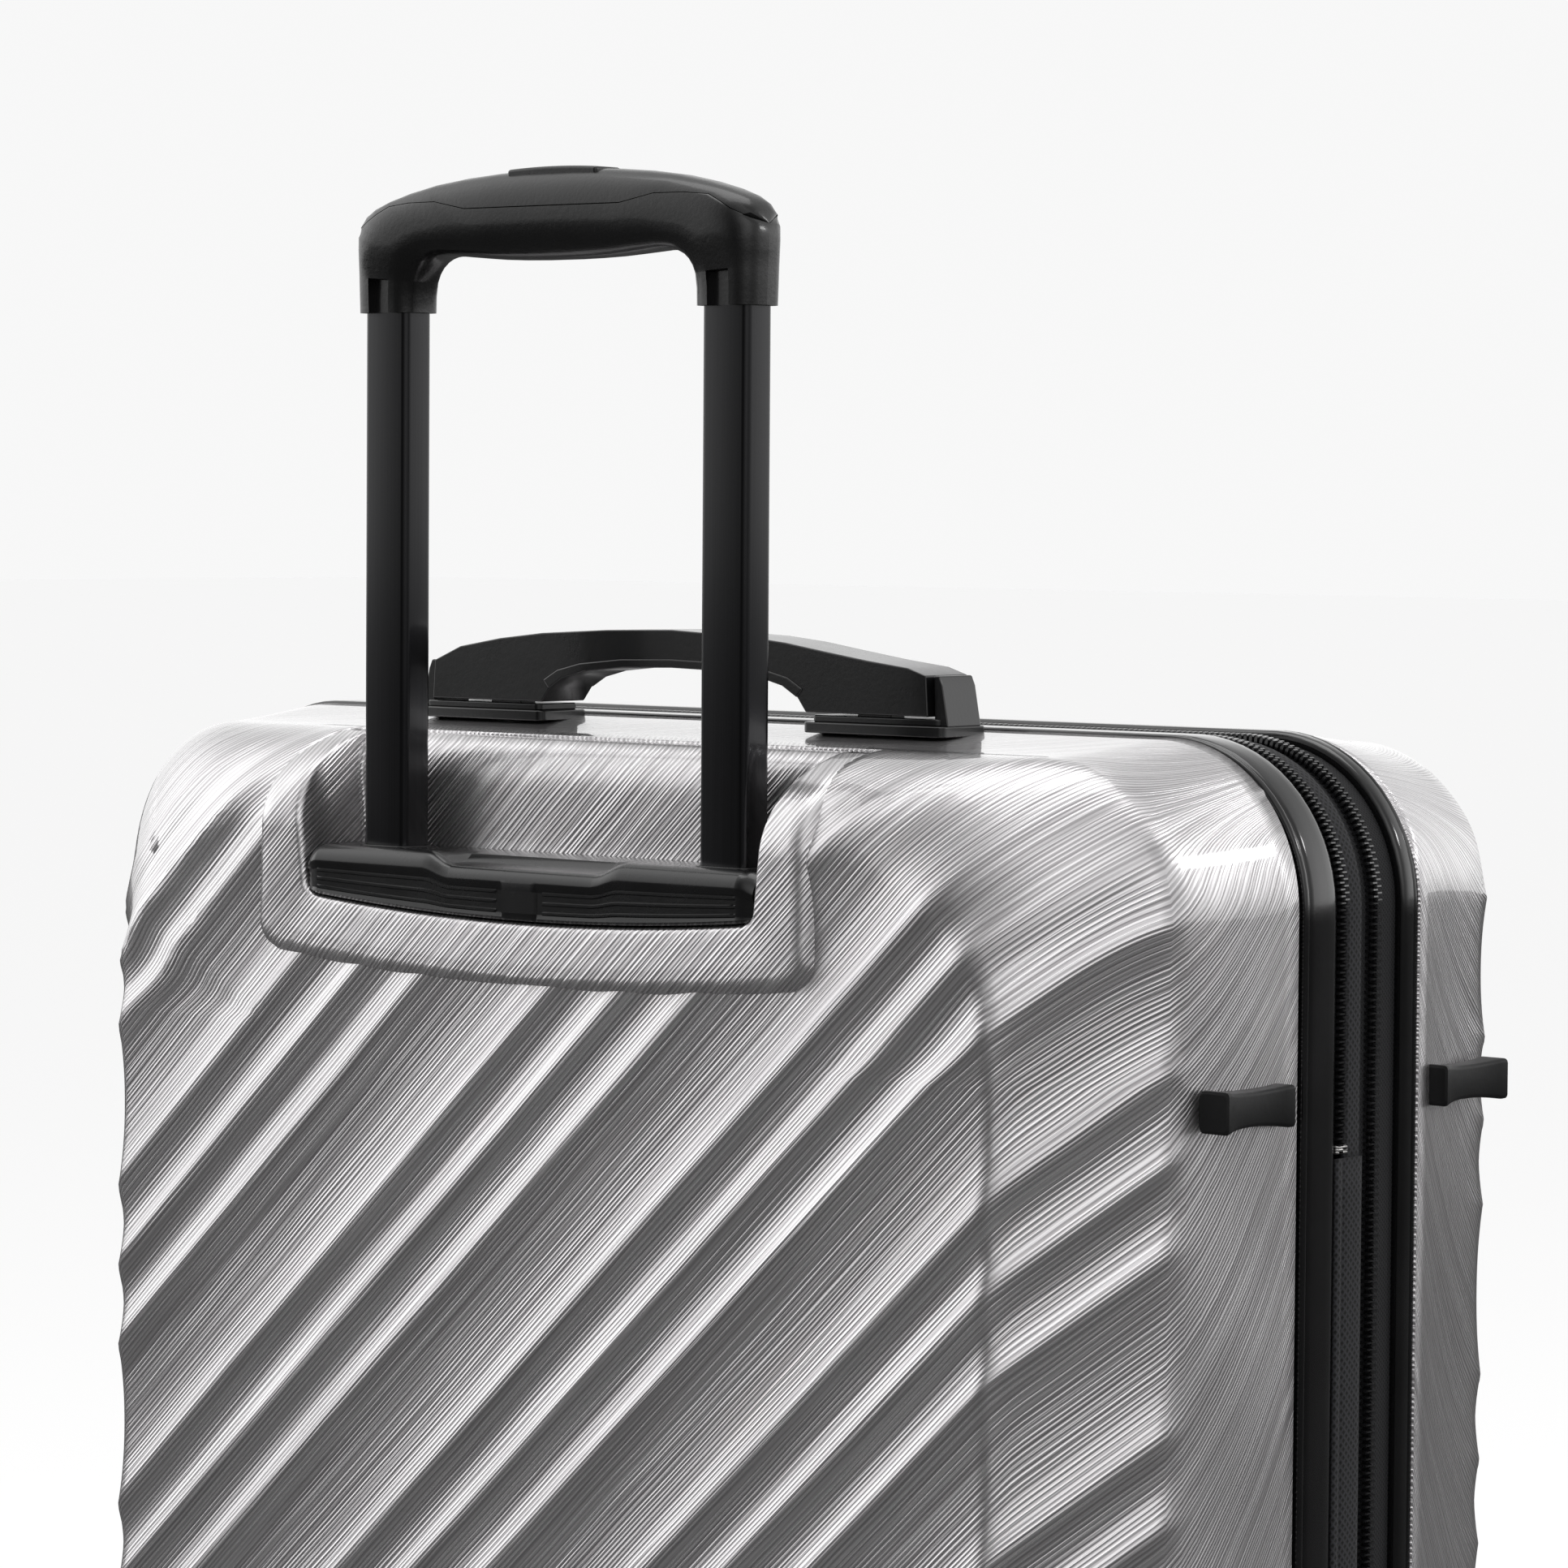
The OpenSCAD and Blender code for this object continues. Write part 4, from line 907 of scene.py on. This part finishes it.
rings = np.concatenate([front, back[:, ::-1][:, 1:]], 1)
count = rings.shape[1]
ring = np.arange(count)
cover_mesh = (rings.reshape(-1, 3), [grid_faces(len(rings), count, wrap_cols=True), ring[None],
                                     ring[None] + (len(rings) - 1) * count])
new_piece("grip_cover", *merged(cover_mesh), grip_plastic, "trolley", ["grip_cover"], "grip_black", creases=45)
top_arc = np.array([(x, 952.95 - (x / 22) ** 2 * 0.7) for x in np.linspace(-22, 22, 13)])
button = prism(np.concatenate([top_arc, [(22, 943.2), (-22, 943.2)]]), TUBE_Y - 7, TUBE_Y + 7)
eased(new_piece("grip_button", *merged(button), grip_plastic, "release", ["grip_button"], "grip_black"), 1.2, 3)

# ---------------------------------------------------------------------------
# The bezel at the foot of the recess: a moulded ledge round both tubes, with
# a rolled lip, a dip for the fingers and three fine ridges on each side.
# ---------------------------------------------------------------------------
LEDGE_X = np.unique(np.concatenate([np.linspace(-110.6, 110.6, 75), [-49, -46, -40, -36, 36, 40, 46, 49],
                                    [-8.6, -8, 8, 8.6], [-104, -103.4, 103.4, 104], [-12, -11.5, 11.5, 12]]))


def ledge_grid():
    """The bezel's skin as a profile for each x: from the back along the top, over the rolled lip, down the ridged
    face to the lower edge, which bows down in the middle, and back."""
    x = LEDGE_X
    low = 680.8 + 5.3 * (x / 110.6) ** 2
    dip = 1 - smooth((np.abs(x) - 35) / 14)
    end = smooth((np.abs(x) - 104) / 6.6)
    lip_top = 704.0 - 4.6 * dip - 2.6 * end ** 2
    lip_r = 6.6 - 1.6 * dip
    front = -141.6 + 2.4 * end ** 2
    level = np.full_like(x, 703.5)
    wall = np.full_like(x, -106.2)
    rows = [np.stack([x, wall, low + 1], 1), np.stack([x, wall, level - 0.1], 1)]
    for y in (-112.0, -120.0):
        rows.append(np.stack([x, np.full_like(x, y), level], 1))
    rows.append(np.stack([x, np.full_like(x, -128.0), 703.5 - 0.3 * dip], 1))
    rows.append(np.stack([x, -130.5 + 0 * x, 703.6 - 2.6 * dip - end], 1))
    for angle in np.linspace(math.pi / 2, 0, 8):
        rows.append(np.stack([x, front + lip_r * (1 - math.cos(angle)), lip_top - lip_r * (1 - math.sin(angle))], 1))
    foot = lip_top - lip_r - 0.6
    marked = (np.abs(x) > 11.7) & (np.abs(x) < 103.7)
    block = np.abs(x) < 8.3
    for k in range(3):
        centre = foot - (foot - low) * (0.22 + 0.27 * k)
        for dz, stand in ((0.95, 0.9), (0.55, 0.15), (-0.15, 0.15), (-0.6, 0.9)):
            sunk = np.where(marked, stand, np.where(block, 0.1, 0.9))
            rows.append(np.stack([x, front + sunk, centre + dz], 1))
    rows.append(np.stack([x, front + 0.6, low + 1.2], 1))
    rows.append(np.stack([x, front + 1.8, low + 0.1], 1))
    rows.append(np.stack([x, np.full_like(x, -136.0), low], 1))
    return np.stack(rows)


grid = ledge_grid()
count_rows, count_cols = grid.shape[:2]
cap = np.arange(count_rows) * count_cols
ledge_faces = [grid_faces(count_rows, count_cols, wrap_rows=True), cap[None], cap[None] + count_cols - 1]
bezel_black = gloss_black("bezel black", 0.006, 0.26, 600.0, 0.00006, coat=0.4)
new_piece("trolley_bezel", *merged((grid.reshape(-1, 3), ledge_faces)), bezel_black, "back", ["trolley_bezel"],
          "moulded_black", creases=38)
collars = []
for side in (-1, 1):
    ring_out = rectangle(side * TUBE_X - 12.6, side * TUBE_X + 12.6, TUBE_Y - 8.6, TUBE_Y + 8.6, 3.6, 5)
    ring_in = rectangle(side * TUBE_X - 11.35, side * TUBE_X + 11.35, TUBE_Y - 7.45, TUBE_Y + 7.45, 2.8, 5)
    rings = np.stack([np.c_[ring, np.full(len(ring), height)] for ring, height in (
        (ring_in, 690.0), (ring_out, 690.0), (ring_out, 703.9), (ring_in, 703.9))])
    collars.append((rings.reshape(-1, 3), [grid_faces(*rings.shape[:2], wrap_rows=True, wrap_cols=True)]))
eased(new_piece("tube_collars", *merged(*collars), bezel_black, "back", [], "moulded_black", creases=35), 0.3, 2)

# ---------------------------------------------------------------------------
# The carry handles on the top and on the left side: soft-touch grips with an
# arched window, sprung on two-tier base plates with end brackets.
# ---------------------------------------------------------------------------
CARRY_Y, TOP_Z, SIDE_X = -48.0, 750.0, -264.65


def placed(bodies, side):
    """Bodies drawn on a wall at height 0, put on the top of the case or turned on to its left side."""
    points, groups = bodies
    if side:
        points = np.stack([SIDE_X - points[:, 2], points[:, 1], RIM_MID_Z + points[:, 0]], 1)
        groups = facing_out(points, groups)
    else:
        points = points + np.array([0, 0, TOP_Z])
    return points + np.array([0, CARRY_Y, 0]), groups


def carry_grip(rise):
    """Outline of a carry handle with its arched window, pushed through its depth, and the tongues in its ends."""
    k = rise / 35.0
    top = [(-123.5, 6.3), (-122.5, 21.0 * k), (-109, 26.5 * k), (-88, 30.0 * k), (-66, 32.4 * k), (-33, 34.2 * k),
           (0, 34.9 * k), (38, 33.2 * k), (56, 31.4 * k), (75, 28.6 * k), (95, 25.8 * k), (114, 23.6 * k),
           (122.5, 21.0 * k), (123.5, 6.3)]
    arch = [(66, 6.3), (62, 11.5 * k), (55, 15.5 * k), (44, 18.2 * k), (24, 20.2 * k), (0, 20.8 * k),
            (-24, 20.2 * k), (-44, 18.2 * k), (-55, 15.5 * k), (-62, 11.5 * k), (-66, 6.3)]
    outline = np.array(top[::-1] + arch[::-1])[::-1]
    grip_body = prism(outline, -12, 12)
    inner = arch[1:-1]
    strip = np.array([(x, z + 0.1) for x, z in inner] + [(x * 1.045, z + 3.2 * k) for x, z in inner[::-1]])
    tongues = [prism(rectangle(s * 92 - 8, s * 92 + 8, -17, 7), -4, 4) for s in (-1, 1)]
    return merged(grip_body, prism(strip, -12.6, -11.5), prism(strip, 11.5, 12.6), *tongues)


def carry_base(rise):
    """Two plates, each with a smaller plate on it and a bracket that closes the end of the handle."""
    bodies = []
    for s in (-1, 1):
        bodies.append(prism(rectangle(s * 98 - 33, s * 98 + 33, -13, 13, 3.0), -1, 3, "z"))
        bodies.append(prism(rectangle(s * 98 - 30, s * 98 + 30, -11, 11, 2.5), 2.9, 5.5, "z"))
        bracket = [(s * 124.8, 2.8), (s * 131.0, 2.8), (s * 128.2, rise * 0.50), (s * 126.6, rise * 0.60),
                   (s * 124.2, rise * 0.60)]
        bodies.append(prism(bracket, -9.5, 9.5))
    return merged(*bodies)


handle_black = gloss_black("handle black", 0.007, 0.30, 560.0, 0.00008, coat=0.5)
for label, rise, side in (("top_handle", 35.0, False), ("side_handle", 19.0, True)):
    eased(new_piece(label, *placed(carry_grip(rise), side), handle_black, label, [label], "grip_black"), 1.1, 3)
    eased(new_piece(label + "_base", *placed(carry_base(rise), side), handle_black, "back", [label + "_base"],
                    "moulded_black"), 0.6, 2)

# ---------------------------------------------------------------------------
# The standing feet on the hinge side: rubber blocks with a hollowed face.
# ---------------------------------------------------------------------------
rubber = gloss_black("foot rubber", 0.010, 0.5, 420.0, 0.00010)
for label, y0, y1, body in (("back_feet", -80.0, -41.0, "back"), ("front_feet", 50.0, 89.0, "front")):
    blocks = []
    for middle in (177.0, 627.0):
        ys = (y0 + y1) / 2 + (y1 - y0) / 2 * np.sin(np.linspace(-math.pi / 2, math.pi / 2, 15))
        out = np.abs(ys - (y0 + y1) / 2) / ((y1 - y0) / 2)
        shrink = 1.4 * (1 - np.sqrt(np.clip(1 - np.clip((out - 0.93) / 0.07, 0, 1) ** 2, 0, 1)))
        face, half = 270.0 + 3.9 * out ** 2.4 - shrink, 6.1 + 1.6 * out ** 2.2 - shrink
        rings = np.stack([np.stack([rectangle(261.0, f, middle - h, middle + h, 1.6, 3)[:, 0], np.full(16, y),
                                    rectangle(261.0, f, middle - h, middle + h, 1.6, 3)[:, 1]], 1)
                          for f, h, y in zip(face, half, ys)])
        ring = np.arange(16)
        blocks.append((rings.reshape(-1, 3), [grid_faces(15, 16, wrap_cols=True), ring[None], ring[None] + 14 * 16]))
    new_piece(label, *merged(*blocks), rubber, body, [label], "foot_rubber", creases=50)

# ---------------------------------------------------------------------------
# The combination lock: a moulded body let into the side, three dials on a
# pin and a release button. It holds the zip pulls when the case is shut.
# ---------------------------------------------------------------------------
lock_plastic = gloss_black("lock black", 0.009, 0.28, 600.0, 0.00005, coat=0.5)
repaint(lock_plastic, "lock_body", "lock_dial_1", "lock_dial_2", "lock_dial_3")
repaint(mill, "lock_button")

# ---------------------------------------------------------------------------
# Twin wheels on swivelling forks in moulded housings: a soft grey tread on a
# black hub with eight webs.
# ---------------------------------------------------------------------------
repaint(grained_black, "back_housings", "front_housings", "caster_bl", "caster_br", "caster_fl", "caster_fr")


def wheel_finish(name, hub_y):
    """Tread at the rim and gloss hub within 19 mm of the axle, with webs between them; the hub colour is painted
    darker between the webs, as painted shade in the hollows.
    """
    tyre = new_finish(name)
    place = tyre.node("ShaderNodeTexCoord", out="Object")
    x, y, z = tyre.xyz(place)
    dy, dz = y - hub_y, z - 0.025
    radius = (dy * dy + dz * dz).maths("SQRT", dy * dy + dz * dz)
    tread = radius.step(0.0188, 0.0196)
    webs = ((dy.maths("ARCTAN2", dy, dz) * 8.0).sin() * 0.5 + 0.5).step(0.25, 0.75)
    dust = tyre.noise(place, 240.0, 4.0, 0.65)
    # painted shade: the hub colour is darker between the eight webs, standing in for shade in the hollows between
    # them
    hub = tyre.mix(webs, (0.006, 0.006, 0.006, 1), (0.016, 0.016, 0.017, 1))
    rim = tyre.mix(dust, (0.035, 0.035, 0.037, 1), (0.060, 0.060, 0.062, 1))
    return drive(tyre, Base_Color=tyre.mix(tread, hub, rim), Roughness=0.3 + tread * 0.3 + (dust - 0.5) * 0.15,
                 Normal=tyre.bump(dust + webs * 0.4, 0.00008, 0.5))


for row_label, row_y in (("b", -0.109), ("f", 0.086)):
    tread = wheel_finish("wheel tread " + row_label, row_y)
    repaint(tread, *["wheel_" + row_label + s + "_" + k for s in "lr" for k in "ab"])

# ---------------------------------------------------------------------------
# The linings: dark woven cloth, sewn to the rim sleeve all round and hanging
# close to the shell walls.
# ---------------------------------------------------------------------------


def twill(name, dark, light, scale, rough=0.85):
    """Plain dark woven cloth: warp and weft threads, with slubs."""
    cloth = new_finish(name, Sheen_Weight=0.2, Sheen_Roughness=0.5)
    place = cloth.node("ShaderNodeTexCoord", out="Object")
    x, y, z = cloth.xyz(place)
    threads = ((x + y) * scale).sin() * ((z + y * 0.7) * scale).sin() * 0.5 + 0.5
    slub = cloth.noise(place, 380.0, 3.0, 0.6)
    weave = threads * 0.6 + slub * 0.4
    return drive(cloth, Base_Color=cloth.mix(weave.step(0.3, 0.75), (*dark, 1), (*light, 1)),
                 Roughness=rough + (slub - 0.5) * 0.2, Normal=cloth.bump(weave, 0.0002, 0.7))


lining_cloth = twill("lining cloth", (0.012, 0.012, 0.015), (0.040, 0.040, 0.047), 5200.0)


def lining(sections):
    """A cup of cloth: rings of round-cornered rectangles, then the floor, as a grid of rings from rim to middle."""
    rings = []
    for y, half_w, low, high, r in sections:
        turn = np.linspace(0, math.pi / 2, 9)
        cx, cz = half_w - r, (high - low) / 2 - r
        mid = (high + low) / 2
        spots = []
        for start, sx, sz in ((0, 1, 1), (90, -1, 1), (180, -1, -1), (270, 1, -1)):
            angle = turn + math.radians(start)
            spots.append(np.stack([sx * cx + r * np.cos(angle), np.full(9, y), mid + sz * cz + r * np.sin(angle)], 1))
            ends = spots[-1][-1]
            nxt = {0: (-1, 1), 90: (-1, -1), 180: (1, -1), 270: (1, 1)}[start]
            after = math.radians(start + 90)
            target = np.array([nxt[0] * cx + r * math.cos(after), y, mid + nxt[1] * cz + r * math.sin(after)])
            steps = np.linspace(0, 1, 34)[1:-1, None]
            spots.append(ends + (target - ends) * steps)
        rings.append(np.concatenate(spots))
    rings = np.stack(rings)
    centre = np.array([0, rings[-1][0, 1], (rings[-1][:, 2].min() + rings[-1][:, 2].max()) / 2])
    floor_rings = [centre + (rings[-1] - centre) * s for s in (0.9, 0.75, 0.55, 0.35, 0.15, 0.03)]
    return np.concatenate([rings, np.stack(floor_rings)])


for label, sections, body in (
        ("back_lining", [(-12, 261, 84, 733, 52), (-24, 259.6, 84, 732.8, 52),
                         (-34, 258.7, 84, 732.6, 52), (-41, 257.9, 84, 732.4, 52), (-48, 257, 84, 732.2, 52),
                         (-55, 256, 84, 732, 52), (-62, 254.6, 84, 732, 52), (-72, 252.9, 84, 731.5, 52),
                         (-84, 251, 84, 731, 52), (-99, 238, 88, 725, 56)], "back"),
        ("front_lining", [(40, 255.5, 84, 733, 50), (66, 253, 84, 732, 50), (92, 250, 84, 731, 52),
                          (115, 231, 88, 723, 56), (127, 219, 98, 707, 62)], "front")):
    grid = lining(sections)
    rows, cols = grid.shape[:2]
    flat = grid.reshape(-1, 3)
    if body == "back":
        # over the side handle's anchors and the lock the cloth stands off the wall
        for z, y, wide in ((310.0, -48.0, 17.0), (494.0, -48.0, 17.0), (600.0, -45.0, 30.0)):
            away = ((flat[:, 2] - z) / wide) ** 2 + ((flat[:, 1] - y) / 17.0) ** 2
            flat[:, 0] += np.where(flat[:, 0] < -200, (13.0 if wide < 20 else 5.0) * np.exp(-away), 0)
    faces = [grid_faces(rows, cols, wrap_cols=True), (rows - 1) * cols + np.arange(cols)[None]]
    cloth_piece = new_piece(label, flat, faces, lining_cloth, body, [label], "lining_cloth")

# ---------------------------------------------------------------------------
# The packing strap: ribbed webbing sewn in at both sides of the back half,
# joined by a side-release buckle.
# ---------------------------------------------------------------------------


def webbing():
    """Ribbed webbing: cross ribs along its length and bound edges."""
    strap = new_finish("strap webbing", Sheen_Weight=0.2)
    place = strap.node("ShaderNodeTexCoord", out="Object")
    x, y, z = strap.xyz(place)
    ribs = (x * 3900.0).sin() * 0.5 + 0.5
    yarn = (z * 5200.0).sin() * 0.5 + 0.5
    fuzz = strap.noise(place, 900.0, 2.0, 0.7)
    height = ribs * 0.6 + yarn * 0.25 + fuzz * 0.3
    colour = strap.mix(height.step(0.3, 0.9), (0.009, 0.009, 0.010, 1), (0.040, 0.040, 0.044, 1))
    return drive(strap, Base_Color=colour,
                 Roughness=0.75 + (fuzz - 0.5) * 0.2, Normal=strap.bump(height, 0.0003, 0.8))


strap_cloth = webbing()
halves = []
for x0, x1 in ((-259.0, -30.2), (36.0, 259.0)):
    x = np.linspace(x0, x1, 40)
    section = ((-16.72, 387.6), (-16.75, 388.6), (-16.60, 390.0), (-16.60, 410.0), (-16.75, 411.4),
               (-16.72, 412.4), (-15.28, 412.4), (-15.25, 400.0), (-15.28, 387.6))
    rows = np.stack([np.stack([x, np.full(40, y), np.full(40, z)], 1) for y, z in section])
    ends = np.arange(9) * 40
    halves.append((rows.reshape(-1, 3), [grid_faces(9, 40, wrap_rows=True), ends[None], ends[None] + 39]))
straps = new_piece("pack_straps", *merged(*halves), strap_cloth, "back", ["pack_straps"], "strap_webbing", creases=50)
repaint(lock_plastic, "buckle_socket", "buckle_plug")
